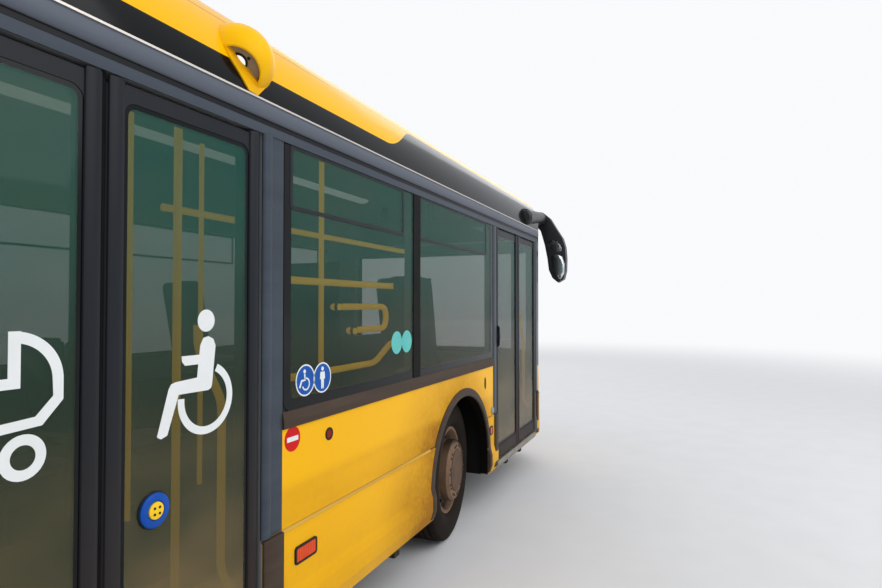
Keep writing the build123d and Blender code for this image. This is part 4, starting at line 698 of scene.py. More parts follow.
def narrow_face(width):
    """Section of a folded post cover of some width."""
    return [(-0.002, 0.0), (0.004, 0.001), (0.006, 0.010), (0.006, width - 0.012), (0.003, width - 0.002),
            (-0.002, width)]


posts, feet = Form(), Form()
for place, way, section, width in ((MID_FRONT, 1, WIDE_FACE, 0.118),
                                   (MID_REAR, -1, narrow_face(0.076), 0.070),
                                   (FRONT_REAR, -1, narrow_face(0.080), 0.074),
                                   (FRONT_FRONT, 1, narrow_face(0.076), 0.070)):
    foot_section = [(-0.002, 0.001), (0.016, 0.001), (0.0195, 0.006), (0.0195, width - 0.006),
                    (0.016, width), (-0.002, width)]
    for form, shape, low, high in ((posts, section, SKIRT_CLEAR, POST_TOP),
                                   (feet, foot_section, POST_FOOT, SKIRT_CLEAR - 0.003)):
        form.prism([(out, place + way * run) for out, run in shape], low, high, upright)
posts.made("portal_posts", profile_grey, slot="door_frame_grey", bevel=0.0008)
feet.made("portal_post_feet", trim_brown, bevel=0.002)
sills.made("door_sills", sill_finish, slot="frame_steel", bevel=0.001)


# Signs on the middle door: white film cut to a wheelchair and to a pram, stuck on the
# panes, and the round blue push button with its yellow cap.
def stroke(path, width):
    """Outline of a line of points drawn with a pen of some width."""
    left, back = [], []
    for i, (px, pz) in enumerate(path):
        qx, qz = path[max(i - 1, 0)]
        rx, rz = path[min(i + 1, len(path) - 1)]
        length = math.hypot(rx - qx, rz - qz)
        nx, nz = -(rz - qz) / length * width / 2, (rx - qx) / length * width / 2
        left.append((px + nx, pz + nz))
        back.append((px - nx, pz - nz))
    return left + back[::-1]


def arc(x, z, radius, start, end, steps=20):
    """Points along an arc, its angles in degrees from the bus's front upwards."""
    turns = [math.radians(start + (end - start) * k / steps) for k in range(steps + 1)]
    return [(x + radius * math.cos(t), z + radius * math.sin(t)) for t in turns]


def moved(outline):
    return [(along(x), z) for x, z in outline]


film_white = grained("white_film", tint(236, 238, 238), tint(220, 224, 222), (11.0, 4.0), (0.12, 0.30, 40.0))
FILM_BACK, FILM_FACE = -0.0080, -0.0074
FILM_STEP = 0.00012
BODY_AND_LEGS = [(-2.372, 1.545), (-2.394, 1.540), (-2.407, 1.517), (-2.420, 1.412), (-2.508, 1.407),
                 (-2.524, 1.402), (-2.533, 1.388), (-2.575, 1.249), (-2.560, 1.240), (-2.537, 1.247),
                 (-2.494, 1.366), (-2.371, 1.365), (-2.358, 1.372), (-2.354, 1.385), (-2.340, 1.512),
                 (-2.350, 1.535)]
ARM_REST = [(-2.484, 1.486), (-2.405, 1.486), (-2.409, 1.455), (-2.470, 1.455), (-2.482, 1.468)]
CHAIR_WHEEL = stroke(arc(-2.379, 1.340, 0.106, 66, -186, 40), 0.026)
PRAM_TRAY = [(-2.864, 1.408), (-2.917, 1.350), (-3.100, 1.338), (-3.100, 1.362), (-2.934, 1.374),
             (-2.890, 1.420)]
PRAM_HOOD = arc(-2.990, 1.460, 0.126, 94, 0) + PRAM_TRAY + arc(-2.990, 1.460, 0.098, 0, 94)
PRAM_EDGES = [(-2.999, 1.586), (-2.970, 1.586), (-2.970, 1.448), (-3.110, 1.448), (-3.110, 1.474),
              (-2.999, 1.474)]
PRAM_HANDLE = stroke([(-3.100, 1.455), (-3.155, 1.530), (-3.190, 1.530)], 0.026)
PRAM_STRUT = stroke([(-3.100, 1.470), (-3.112, 1.400), (-3.098, 1.350)], 0.026)


def cut_film(outlines):
    """Film cut to some outlines, each a hair thicker than the one before."""
    film = Form()
    for level, outline in enumerate(outlines):
        film.prism(moved(outline), FILM_BACK, FILM_FACE + level * FILM_STEP, right)
    return film


chair = cut_film([BODY_AND_LEGS, disc(-2.382, 1.597, 0.037), ARM_REST, CHAIR_WHEEL])
chair.made("wheelchair_sign", film_white, "mid_door_front", "body_yellow")
pram = cut_film([PRAM_HOOD, PRAM_EDGES, PRAM_HANDLE, PRAM_STRUT])
for middle in (-2.962, -3.105):
    rim, hole = [moved(disc(middle, 1.280, radius)) for radius in (0.056, 0.030)]
    pram.hoop(rim, hole, FILM_BACK, FILM_FACE, right)
pram.made("pram_sign", film_white, "mid_door_rear", "body_yellow")


def plain_plastic(name, dark, light, rough=0.35, **constants):
    """Moulded or painted stuff of two close tones with a fine grain."""
    return grained(name, dark, light, (16.0, 4.0), (0.2, rough, 55.0, 3.0), (0.0003, 0.2, 600.0, 1.0),
                   **constants)


satin_black = plain_plastic("satin_black", tint(17, 18, 20), tint(32, 34, 37), 0.30)
button_blue = plain_plastic("button_blue", tint(6, 66, 156), tint(14, 84, 176), 0.25)
button_yellow = plain_plastic("button_yellow", tint(246, 196, 20), tint(255, 212, 52), 0.25)
OUTWARD = (0, -1, 0)
DOT_SHIFT = 0.009
button_middle = Vector((along(-2.586), SIDE_Y + 0.008, 1.035))
CUP = [(0.0, -0.002), (0.0555, -0.002), (0.0555, 0.003), (0.0535, 0.005), (0.0, 0.005)]
RING = [(0.0, 0.003), (0.0520, 0.003), (0.0515, 0.010), (0.046, 0.0140), (0.030, 0.0145), (0.028, 0.011),
        (0.0, 0.011)]
CAP = [(0.0, 0.010), (0.026, 0.010), (0.0255, 0.0155), (0.021, 0.0175), (0.0, 0.0180)]
for word, profile, finish, slot, steps in (("cup", CUP, satin_black, "black_trim", 40),
                                           ("ring", RING, button_blue, "lamp_lens", 40),
                                           ("cap", CAP, button_yellow, "lamp_lens", 36)):
    knob = Form().turned(profile, button_middle, OUTWARD, steps)
    knob.made(f"button_{word}", finish, "mid_door_front", slot)
dots = Form()
for way_x, way_z in ((1, 1), (1, -1), (-1, 1), (-1, -1)):
    spot = button_middle + Vector((way_x, 0, way_z)) * DOT_SHIFT
    dots.turned([(0.0, 0.016), (0.0042, 0.016), (0.0038, 0.0195), (0.0, 0.0200)], spot, OUTWARD, 12)
dots.made("button_dots", satin_black, "mid_door_front")

# Wheel arch trims. A band of weathered plastic follows each arch, stands proud of the
# panels, and is clipped over their edge; its feet run down over the flared skirt.
ARCH_INNER = 0.527
ARCH_OUTER = ARCH_INNER + 0.056
ARCH_STEPS = 42
ARCH_PROUD = 0.0125
# Heights of the trim's straight foot, from below, and how far it stands out there.
ARCH_LEG = [(0.335, 0.010), (0.385, 0.0265), (0.462, 0.0270), (0.520, 0.0130)]
for side, word in SIDES:
    trims = Form()
    for axle in (AXLE_X, REAR_AXLE_X):
        turns = [math.radians(6 + 168 * k / ARCH_STEPS) for k in range(ARCH_STEPS + 1)]
        stations = [(-1, 0, level, out) for level, out in ARCH_LEG]
        stations += [(-math.cos(t), math.sin(t), WHEEL_CENTRE, ARCH_PROUD) for t in turns]
        stations += [(1, 0, level, out) for level, out in ARCH_LEG[::-1]]
        rows = []
        for way, up, level, out in stations:
            section = ((ARCH_INNER, -0.035), (ARCH_INNER, out - 0.005), (ARCH_INNER + 0.005, out),
                       (ARCH_OUTER - 0.014, out), (ARCH_OUTER, out * 0.45), (ARCH_OUTER, -0.004))
            rows.append([beside(side)(axle + way * reach, level + up * reach, height)
                         for reach, height in section])
        trims.solid(rows)
    trims.made(f"arch_trims_{word}", trim_brown, smooth=35)

# Skirt panels. Each hangs from a hinge under a slightly metallic ledge whose pale yellow colour
# is a painted highlight, and is parted from the next by a narrow gap; over the ledge the wall's
# lower edge shows as a dark line of painted shade.
# Painted highlight: the ledge is a pale yellow, lighter than the body, standing in for light on its top.
ledge_highlight_finish = grained("skirt_ledge_highlight", tint(232, 190, 84), tint(186, 140, 60), (5.0, 5.0, (0.4, 1, 2)),
                       (0.3, 0.32), Metallic=0.35)
LEDGE_SECTION = [(-0.001, 0.7630), (0.0085, 0.7545), (0.0105, 0.7565), (0.0090, 0.7610), (0.0015, 0.7672),
                 (-0.001, 0.7672)]
GAP_SECTION = [(0.0005, 0.762), (0.0078, 0.754), (0.0078, 0.525), (0.0208, 0.465), (0.0208, 0.390),
               (0.001, 0.322)]
GAP_HALF = 0.0025
LEDGE_END = 0.584
rear_part = [TAIL_JOINT, REAR_AXLE_X - LEDGE_END, REAR_AXLE_X + LEDGE_END]
front_part = [AXLE_X - LEDGE_END, AXLE_X + LEDGE_END]
SKIRT_STOPS = {1: rear_part + front_part + [CAP_JOINT],
               -1: rear_part + [MID_REAR - 0.074, MID_FRONT + 0.121] + front_part + [FRONT_REAR - 0.076]}
PANEL_GAPS = {1: (-4.70, -3.95, -1.35, 0.05, 1.45), -1: (-4.70, -3.95, -1.45, -0.75)}
for side, word in SIDES:
    ledge, gaps = Form(), Form()
    stops = SKIRT_STOPS[side]
    for start, end in zip(stops[::2], stops[1::2]):
        ledge.prism(LEDGE_SECTION, start, end, running(side))
    ledge.made(f"skirt_ledges_{word}", ledge_highlight_finish, slot="body_yellow")
    for place in PANEL_GAPS[side]:
        gaps.skin([[beside(side)(place + shift, z, out) for out, z in GAP_SECTION]
                   for shift in (-GAP_HALF, GAP_HALF)], closed=False)
    gaps.made(f"skirt_gaps_{word}", rubber)

# Small things along the sides: side marker lamps and reflectors in dark bezels, locks,
# lamps in front of the wheel, and round stickers of printed film.
sign_red = plain_plastic("sign_red", tint(196, 4, 8), tint(214, 12, 12), 0.3)
sign_blue = plain_plastic("sign_blue", tint(0, 74, 158), tint(6, 88, 172), 0.3)
film_turquoise = plain_plastic("film_turquoise", tint(86, 190, 184), tint(112, 206, 198), 0.3, Alpha=0.9)
lock_red = plain_plastic("lock_red", tint(120, 14, 8), tint(146, 26, 14), 0.4)
grey_lamp = plain_plastic("grey_lamp", tint(120, 122, 124), tint(160, 161, 160), 0.3)
marker_orange = Finish("marker_lens", Coat_Weight=0.15, Coat_Roughness=0.05)
x, y, z = marker_orange.place()
facet = x.wave(0.012)
shade = facet * 0.25 + marker_orange.mottle(30.0) * 0.5
marker_orange.wear(Base_Color=marker_orange.mixed(shade, tint(206, 46, 4), tint(246, 104, 14)),
                   Roughness=marker_orange.mottle(60.0) * 0.1 + 0.12,
                   Normal=marker_orange.relief(facet * 0.5 + 0.5, 0.0008, 0.6))
# Rear and front edge of each marker from the front axle, its foot and its head.
MARKERS = [(-1.913, -1.783, 0.611, 0.665), (0.560, 0.612, 0.630, 0.680), (-4.90, -4.77, 0.611, 0.665),
           (-7.60, -7.47, 0.611, 0.665)]
MARKER_BACK = 0.0032
BEZEL_WIDE = 0.009
LOCK_PLACES = (-1.670, -4.30, -5.20)
LOCK_LEVEL = 1.080
LOCK_RING = [(0.028, -0.002), (0.028, 0.0035), (0.02408, 0.0055), (0.02016, 0.0045), (0.0196, -0.002)]
LOCK_CAP = [(0.0, -0.001), (0.0196, -0.001), (0.01848, 0.0030), (0.0, 0.0038)]
REPEATER = [(0.0, -0.002), (0.030, -0.002), (0.030, 0.004), (0.024, 0.010), (0.012, 0.013), (0.0, 0.0135)]
for side, word in SIDES:
    put = beside(side)
    out_way = (0, side, 0)
    bezels, lenses, locks, centres = Form(), Form(), Form(), Form()
    for rear, front, foot, head in MARKERS:
        outer = moved(rounded(rear - BEZEL_WIDE, front + BEZEL_WIDE, foot - BEZEL_WIDE,
                              head + BEZEL_WIDE, 0.014))
        inner = moved(rounded(rear, front, foot, head, 0.008))
        bezels.hoop(outer, inner, MARKER_BACK, MARKER_BACK + 0.011, put)
        lenses.prism(inner, MARKER_BACK, MARKER_BACK + 0.0095, put)
    bezels.made(f"marker_bezels_{word}", satin_black, bevel=0.001)
    lenses.made(f"marker_lenses_{word}", marker_orange, slot="lamp_lens", bevel=0.0012)
    for place in LOCK_PLACES:
        middle = put(along(place), LOCK_LEVEL, 0.0)
        locks.turned(LOCK_RING, middle, out_way, 32, closed=True)
        centres.turned(LOCK_CAP, middle, out_way, 28)
    locks.made(f"flap_lock_rings_{word}", satin_black)
    centres.made(f"flap_lock_caps_{word}", lock_red, slot="lamp_lens")
    repeater = Form().turned(REPEATER, put(along(0.637), 0.804, 0.0), out_way, 28)
    repeater.made(f"side_repeaters_{word}", grey_lamp, slot="lamp_lens")
    oval = [(0.463 + 0.016 * a, 1.042 + 0.045 * b) for a, b in disc(0, 0, 1.0)]
    recess = Form().prism(moved(oval), -0.001, 0.004, put)
    recess.made(f"handle_recess_{word}", satin_black, bevel=0.0015)
NO_ENTRY_X, NO_ENTRY_Z = -1.929, 1.111
red_disc = Form().prism(moved(disc(NO_ENTRY_X, NO_ENTRY_Z, 0.050, 40)), -0.001, 0.0012, right)
red_disc.made("no_entry_disc", sign_red, slot="lamp_lens")
bar = rounded(NO_ENTRY_X - 0.036, NO_ENTRY_X + 0.036, NO_ENTRY_Z - 0.0095, NO_ENTRY_Z + 0.0095, 0.002, 2)
Form().prism(moved(bar), 0.0012, 0.0018, right).made("no_entry_bar", film_white, slot="lamp_lens")
GLASS_FACE = -0.001
FILM_THICK = 0.0006
ROUNDEL = 0.066
SITTING = (disc(-0.10, 0.56, 0.13),
           stroke([(-0.10, 0.40), (-0.05, 0.02), (-0.40, 0.0), (-0.60, -0.42)], 0.15),
           stroke(arc(0.04, -0.24, 0.36, 110, -160), 0.10))
STANDING = (disc(0.0, 0.58, 0.14),
            [(-0.24, 0.38), (0.24, 0.38), (0.28, -0.08), (0.16, -0.10), (0.13, -0.72), (0.02, -0.72),
             (0.0, -0.16), (-0.02, -0.72), (-0.13, -0.72), (-0.16, -0.10), (-0.28, -0.08)])
blue_discs, white_lines, films = Form(), Form(), Form()
for place, level, figure in ((-1.843, 1.336, SITTING), (-1.721, 1.334, STANDING)):
    rim, field = [moved(disc(place, level, radius, 40)) for radius in (ROUNDEL, ROUNDEL - 0.006)]
    blue_discs.prism(field, GLASS_FACE, GLASS_FACE + FILM_THICK, right)
    white_lines.hoop(rim, field, GLASS_FACE, GLASS_FACE + FILM_THICK + 0.0001, right)
    for part in figure:
        outline = moved([(place + ROUNDEL * a, level + ROUNDEL * b) for a, b in part])
        white_lines.prism(outline, GLASS_FACE + FILM_THICK, GLASS_FACE + 2 * FILM_THICK, right)
for place in (-1.020, -0.898):
    films.prism(moved(disc(place, 1.444, 0.062, 40)), GLASS_FACE, GLASS_FACE + FILM_THICK, right)
blue_discs.made("window_roundels", sign_blue, slot="lamp_lens")
white_lines.made("window_roundel_figures", film_white, slot="lamp_lens")
films.made("window_film_discs", film_turquoise, slot="lamp_lens")

# Lamp in the hood over the middle door: a grey-brown backing plate in the pocket, held
# by three screws, with a small white lamp in a dark ring.
hood_yellow = Finish("hood_yellow", Specular_IOR_Level=0.08)
x, y, z = hood_yellow.place()
# The hood turns a darker orange in a mottle towards its lower edge, and the same mask roughens it.
hood_low_mottle = hood_yellow.mottle(14.0, 5.0) * (1 - z.rise(2.44, 2.66)) * 0.7
hood_clean = hood_yellow.mixed(hood_yellow.mottle(3.0), tint(255, 198, 2), tint(248, 186, 6))
hood_yellow.wear(
    Base_Color=hood_yellow.mixed(hood_low_mottle, hood_clean, tint(196, 132, 30)),
    Roughness=hood_low_mottle * 0.3 + 0.26,
    Normal=hood_yellow.relief(hood_yellow.mottle(300.0, 2.0), 0.0004, 0.25),
)
dress(hood_yellow, "lamp_hood")
HOOD_MIDDLE = Vector((along(-2.160), SIDE_Y + 0.080, DRIP_LINE + 0.144))
HOOD_FACING = Vector((-0.633, -0.415, -0.654)).normalized()
HOOD_CUT = 0.096
POCKET_DEEP = 0.034
POCKET_RADIUS = 0.086
PLATE_EDGE = -0.047
PLATE_THICK = 0.010
pocket_floor = HOOD_MIDDLE + HOOD_FACING * (HOOD_CUT - POCKET_DEEP)
pocket_out = Vector((0, -0.93, 0.37))
pocket_out = (pocket_out - HOOD_FACING * pocket_out.dot(HOOD_FACING)).normalized()
pocket_along = HOOD_FACING.cross(pocket_out)


def in_pocket(a, b, c):
    return pocket_floor + pocket_out * a + pocket_along * b + HOOD_FACING * c


plate_finish = plain_plastic("lamp_plate", tint(128, 112, 92), tint(164, 146, 120), 0.42)
backing = [(a, b) for a, b in disc(0, 0, POCKET_RADIUS - 0.003, 60) if a > PLATE_EDGE]
backing.sort(key=lambda p: math.atan2(p[1], p[0]))
plate = Form().prism(backing, 0.0004, PLATE_THICK, in_pocket)
plate.made("hood_lamp_plate", plate_finish, bevel=0.002)
lamp_white = grained("hood_lamp_lens", tint(250, 250, 246), tint(236, 238, 236), (60.0,), (0.08, 0.08, 90.0),
                     Coat_Weight=1.0, Emission_Strength=0.55)
lamp_glow = lamp_white.mixed(lamp_white.mottle(60.0), tint(255, 252, 244), tint(240, 240, 236))
lamp_white.wear(Emission_Color=lamp_glow)
lamp_spot = in_pocket(0.022, 0.012, 0.009)
LAMP = [(0.0, 0.0), (0.026, 0.0), (0.026, 0.006), (0.021, 0.010), (0.010, 0.012), (0.0, 0.0125)]
LAMP_RING = [(0.0270, -0.002), (0.034, -0.002), (0.034, 0.006), (0.031, 0.009), (0.0270, 0.008)]
SCREW = [(0.0, 0.0), (0.0062, 0.0), (0.0056, 0.0026), (0.0, 0.0034)]
Form().turned(LAMP, lamp_spot, HOOD_FACING).made("hood_lamp", lamp_white, slot="lamp_lens")
Form().turned(LAMP_RING, lamp_spot, HOOD_FACING, closed=True).made("hood_lamp_ring", satin_black)
screws = Form()
for a, b in ((-0.030, -0.052), (-0.030, 0.052), (0.062, 0.0)):
    screws.turned(SCREW, in_pocket(a, b, PLATE_THICK), HOOD_FACING, 14)
screws.made("hood_lamp_screws", satin_black)

# Outside mirrors. Satin black housings moulded in one, each with a wide-angle glass over
# the main glass, both bonded into shallow seats with a dark edge.
mirror_black = grained("mirror_housing", tint(22, 23, 26), tint(40, 42, 46), (6.0, 4.0),
                       (0.2, 0.28, 20.0, 4.0), (0.0004, 0.35, 500.0, 2.0), Specular_IOR_Level=0.4)
dress(mirror_black, "mirror_left", "mirror_right")
mirror_glass = grained("mirror_glass", tint(204, 212, 216), tint(220, 226, 228), (5.0,),
                       (0.06, 0.02, 9.0, 4.0), Metallic=1.0)
ROOF_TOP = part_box("roof")[1].z
HEAD_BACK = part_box("mirror_right")[1].x - 0.130
# Outlines in millimetres out from the wall and down from the roof.
MAIN_GLASS = [(16, 677), (84, 655), (146, 682), (176, 772), (170, 880), (129, 950), (61, 932), (22, 847)]
WIDE_GLASS = [(-18, 529), (27, 497), (95, 517), (140, 592), (136, 628), (73, 640), (4, 598)]
GLASS_CROWN = ((0.955, 0.0055), (0.955, 0.002), (0.93, 0.001), (0.6, 0.0002), (0.25, 0.0))
for side, word in SIDES:
    mirrors = Form()
    for outline in (MAIN_GLASS, WIDE_GLASS):
        mid_a, mid_b = [sum(p[i] for p in outline) / len(outline) for i in (0, 1)]
        mirrors.solid([[(HEAD_BACK + back, side * (WALL + (mid_a + (a - mid_a) * share) / 1000),
                         ROOF_TOP - (mid_b + (b - mid_b) * share) / 1000) for a, b in outline]
                       for share, back in GLASS_CROWN])
    mirrors.made(f"mirror_panes_{word}", mirror_glass, smooth=25)

# Wheels. Rims pressed from steel, sprayed grey-brown and filmed with brake dust; radial
# tyres with four grooves round the tread, a ribbed shoulder and a plain dusty sidewall.
rim_finish = Finish("wheel_paint", Metallic=0.15)
x, y, z = rim_finish.place()
brake_dust = rim_finish.mottle(18.0, 6.0)
near_front, near_rear = [abs(x - axle) for axle in (AXLE_X, REAR_AXLE_X)]
nearest = near_front.least(near_rear)
out_from_hub = (nearest * nearest + (z - WHEEL_CENTRE) * (z - WHEEL_CENTRE)) ** 0.5
# Painted shade: the deep dish between the hub disc and the tyre is coloured near black.
painted_dish_shade = out_from_hub.within(0.196, 0.262, 0.012)
rim_paint = rim_finish.mixed(brake_dust, tint(94, 72, 55), tint(140, 112, 88))
rim_finish.wear(
    Base_Color=rim_finish.mixed(painted_dish_shade * 0.85, rim_paint, tint(30, 24, 20)),
    Roughness=brake_dust * 0.25 + 0.42,
    Normal=rim_finish.relief(rim_finish.mottle(160.0, 4.0), 0.0012, 0.35),
)
dress(rim_finish, "front_rim_left", "front_rim_right", "rear_rims_left", "rear_rims_right")
tyre_finish = grained("tyre_rubber", tint(18, 16, 14), tint(48, 40, 33), (7.0, 5.0), (0.15, 0.78),
                      (0.0015, 0.5, 220.0, 4.0), Specular_IOR_Level=0.10)
nut_finish = plain_plastic("wheel_nuts", tint(66, 48, 36), tint(112, 88, 68), 0.5)
GROOVES = (-0.066, -0.022, 0.022, 0.066)
# Radius against distance from the tyre's middle, up one sidewall and over the tread.
TYRE_FLANK = [(0.2882, -0.0975), (0.299, -0.098), (0.306, -0.108), (0.330, -0.126), (0.362, -0.1345),
              (0.394, -0.1370), (0.402, -0.1345), (0.424, -0.1345), (0.430, -0.131), (0.452, -0.124),
              (0.468, -0.114), (0.4755, -0.100)]
TYRE_TREAD = [(radius, groove + n) for groove in GROOVES for radius, n in
              ((0.4778, -0.0062), (0.4650, -0.0040), (0.4650, 0.0040), (0.4778, 0.0062))]
TYRE_PROFILE = TYRE_FLANK + TYRE_TREAD + [(radius, -n) for radius, n in TYRE_FLANK[::-1]]
TWIN_SHIFT = 0.165
LUGS = 60
LUG_HALF = 0.34
LUG_PROFILE = ((0.4700, 0.1125), (0.4779, 0.1010), (0.4779, 0.0760), (0.4700, 0.0760))
HUB_COVER = [(0.0, 0.158), (0.146, 0.158), (0.146, 0.163), (0.142, 0.166), (0.0, 0.1665)]


def tyre(form, centre, axis, shift):
    """One tyre, with short cuts across its outer ribs that leave raised blocks."""
    form.turned(TYRE_PROFILE, centre + axis * shift, axis, 72, closed=True)
    outwards = round_axis(axis)
    for k in range(LUGS):
        turns = [2 * math.pi * (k + turn) / LUGS for turn in (-LUG_HALF, LUG_HALF)]
        for end in (-1, 1):
            form.solid([[centre + axis * (shift + end * n) + outwards(t) * reach for reach, n in LUG_PROFILE]
                        for t in turns])


def wheel_nuts(form, centre, axis, reach, level, count, size, tall, lead=0.0):
    """Ring of six-sided nuts on their studs."""
    outwards = round_axis(axis)
    nut = [(0.0, -0.003), (size * 1.25, -0.003), (size * 1.25, 0.003), (size, 0.0031), (size, tall * 0.62),
           (size * 0.86, tall * 0.68), (size * 0.42, tall * 0.70), (size * 0.40, tall), (0.0, tall)]
    for k in range(count):
        t = 2 * math.pi * (k + 0.5) / count + math.radians(lead)
        form.turned(nut, centre + outwards(t) * reach + axis * level, axis, 6)


wheel_joint = {joint["child"]: joint for joint in frame["joints"]}
for side, word in SIDES:
    joint = wheel_joint[f"front_wheel_{word}"]
    centre = Vector(joint["pos_m"])
    outboard = Vector(joint["axis"]).normalized() * side
    tyres, nuts = Form(), Form()
    tyre(tyres, centre, outboard, 0.0)
    tyres.made(f"front_tyre_tread_{word}", tyre_finish, f"front_wheel_{word}", "tyre_rubber", 50,
               stands_for=(f"front_tyre_{word}",))
    for lead in (-5.5, 5.5):
        wheel_nuts(nuts, centre, outboard, 0.172, 0.160, 10, 0.0085, 0.0095, lead)
    nuts.turned(HUB_COVER, centre, outboard, 48)
    nuts.made(f"front_wheel_nuts_{word}", nut_finish, f"front_wheel_{word}", "rim_paint", 30)
    centre = Vector(wheel_joint[f"rear_wheels_{word}"]["pos_m"])
    outboard = Vector((0, side, 0))
    tyres, nuts = Form(), Form()
    for shift in (-TWIN_SHIFT, TWIN_SHIFT):
        tyre(tyres, centre, outboard, shift)
    tyres.made(f"rear_tyre_treads_{word}", tyre_finish, f"rear_wheels_{word}", "tyre_rubber", 50,
               stands_for=(f"rear_tyres_{word}",))
    wheel_nuts(nuts, centre, outboard, 0.150, 0.020, 10, 0.0150, 0.036)
    wheel_nuts(nuts, centre, outboard, 0.085, 0.210, 8, 0.0080, 0.012)
    nuts.made(f"rear_wheel_nuts_{word}", nut_finish, f"rear_wheels_{word}", "rim_paint", 30)

# Floor, steps and wheel boxes. Studded grey vinyl is welded over plywood and runs up the
# boxes inside; outside, facing the wheels, everything is black with underseal and mud.
vinyl = Finish("floor_vinyl")
x, y, z = vinyl.place()
STUD_PITCH = 0.030
turned_up = vinyl.parts(vinyl.node("NewGeometry", take="Normal"))[2]
under = 1 - turned_up.rise(-0.3, -0.1)
stud = (x.wave(STUD_PITCH) * y.wave(STUD_PITCH)).rise(0.35, 0.75)
trodden = vinyl.mottle(3.0, 5.0)
upper = vinyl.mixed(trodden, tint(78, 84, 90), tint(104, 108, 112))
vinyl.wear(
    Base_Color=vinyl.mixed(under, upper, tint(24, 22, 20)),
    Roughness=trodden * 0.2 + 0.5,
    Normal=vinyl.relief(stud * (1 - under), 0.0012, 0.7),
)
dress(vinyl, "floor", "cab_platform")
box_finish = Finish("wheel_box_covering")
x, y, z = box_finish.place()
near_front, near_rear = [abs(x - axle) for axle in (AXLE_X, REAR_AXLE_X)]
in_arch = 1 - near_front.least(near_rear).rise(0.5505, 0.5515)
in_well = in_arch * abs(y).rise(0.5575, 0.5590) * (1 - z.rise(1.0745, 1.0755))
splashed = box_finish.mottle(8.0, 5.0)
box_finish.wear(
    Base_Color=box_finish.mixed(in_well, box_finish.mixed(splashed, tint(70, 76, 82), tint(92, 97, 102)),
                                box_finish.mixed(splashed, tint(10, 9, 8), tint(24, 21, 18))),
    Roughness=splashed * 0.2 + 0.62,
    Normal=box_finish.relief(box_finish.mottle(90.0, 4.0), 0.0015, 0.4),
)
dress(box_finish, "wheel_boxes")
underseal = grained("underseal", tint(10, 9, 8), tint(22, 19, 16), (9.0, 5.0), (0.1, 0.85, 40.0),
                    (0.002, 0.5, 90.0, 4.0), Specular_IOR_Level=0.05)
LINER_REACH = 0.5265
LINER_FOOT = 0.325
LINER_STEPS = 36
FRONT_TUB_DEPTH = 0.0605
REAR_TUB_DEPTH = 0.7100
REAR_TUB_EYE = 0.400


def wheel_arc(side, axle, reach, out):
    """Half circle over a wheel with straight legs down to the liner's foot."""
    turns = [math.radians(180 * k / LINER_STEPS) for k in range(LINER_STEPS + 1)]
    over = [(axle - reach * math.cos(t), WHEEL_CENTRE + reach * math.sin(t)) for t in turns]
    ends = [(axle - reach, LINER_FOOT)] + over + [(axle + reach, LINER_FOOT)]
    return [beside(side)(x, z, out) for x, z in ends]


liners = Form()
for side in (-1, 1):
    for axle, depth in ((AXLE_X, FRONT_TUB_DEPTH), (REAR_AXLE_X, REAR_TUB_DEPTH)):
        liners.skin([wheel_arc(side, axle, LINER_REACH, out) for out in (-depth, -0.001)], closed=False)
    liners.skin([wheel_arc(side, REAR_AXLE_X, reach, -REAR_TUB_DEPTH)
                 for reach in (REAR_TUB_EYE, LINER_REACH)], closed=False)
liners.made("arch_liners", underseal)

# Frame, axles and what hangs on them. Welded and forged steel under black chassis paint,
# dulled by road film; the bellows of the air springs are rubber.
chassis = grained("chassis_paint", tint(26, 25, 25), tint(66, 56, 47), (6.0, 6.0), (0.3, 0.5),
                  (0.001, 0.4, 130.0, 4.0))
dress(chassis, "underframe", "front_axle", "rear_axle", "knuckle_left", "knuckle_right", "flap_hinges")
cast = grained("cast_housing", tint(66, 66, 68), tint(98, 94, 88), (5.0, 6.0), (0.2, 0.5, 16.0),
               (0.0015, 0.5, 90.0, 4.0), Metallic=0.3)
dress(cast, "engine_block")
bellows = grained("bellows_rubber", tint(24, 24, 24), tint(46, 43, 40), (20.0,), (0.2, 0.55, 30.0))
x, y, z = bellows.place()
dress(bellows.ribbed(z, 0.035, 0.004, 0.8), "air_springs")

# Handrails. Steel tube powder-coated yellow: posts from floor to ceiling, and bent rails
# along the window of the pushchair bay, clamped to the wall with small black brackets.
# Painted light: the coating also glows in its own yellow, though the rails are not lamps.
glowing_rail_finish = Finish("rail_coating_painted_glow", Emission_Strength=0.40)
rail_yellow = glowing_rail_finish.mixed(glowing_rail_finish.mottle(7.0, 4.0), tint(255, 206, 6), tint(246, 186, 4))
glowing_rail_finish.wear(Base_Color=rail_yellow, Emission_Color=rail_yellow,
                 Roughness=glowing_rail_finish.mottle(30.0) * 0.15 + 0.28)
dress(glowing_rail_finish, "handrails")
TUBE = 0.0165
RAIL_INBOARD = 0.115
RAIL_END = 0.062
FLOOR_TOP = 0.360
CEILING = ROOF_TOP - 0.060


def bent(points, radius, steps=6):
    """Line of points with its corners rounded, as a tube is bent."""
    points = [Vector(p) for p in points]
    line = [points[0]]
    for before, corner, after in zip(points, points[1:], points[2:]):
        start = corner + (before - corner).normalized() * radius
        end = corner + (after - corner).normalized() * radius
        for k in range(steps + 1):
            t = k / steps
            line.append(start * (1 - t) ** 2 + corner * 2 * t * (1 - t) + end * t ** 2)
    return line + [points[-1]]


def in_bay(x, z, inboard=RAIL_INBOARD):
    return Vector((along(x), SIDE_Y + inboard, z))


# Each bent rail as places along the window and heights, and the radius of its bends.
UPPER_RAIL = ([(-1.975, 1.757), (-0.905, 1.757)], 0.035)
LOWER_RAIL = ([(-1.975, 1.335), (-1.060, 1.335), (-0.860, 1.440)], 0.05)
LOOP_RAIL = ([(-1.50, 1.640), (-0.935, 1.640), (-0.935, 1.520), (-1.36, 1.520)], 0.06)
BRACKET = [(0.0, 0.0), (0.030, 0.0), (0.030, 0.006), (0.020, 0.012), (0.0, 0.012)]
COLLAR = [(0.0185, 0.0), (0.038, 0.0), (0.038, 0.006), (0.026, 0.022), (0.0185, 0.022)]
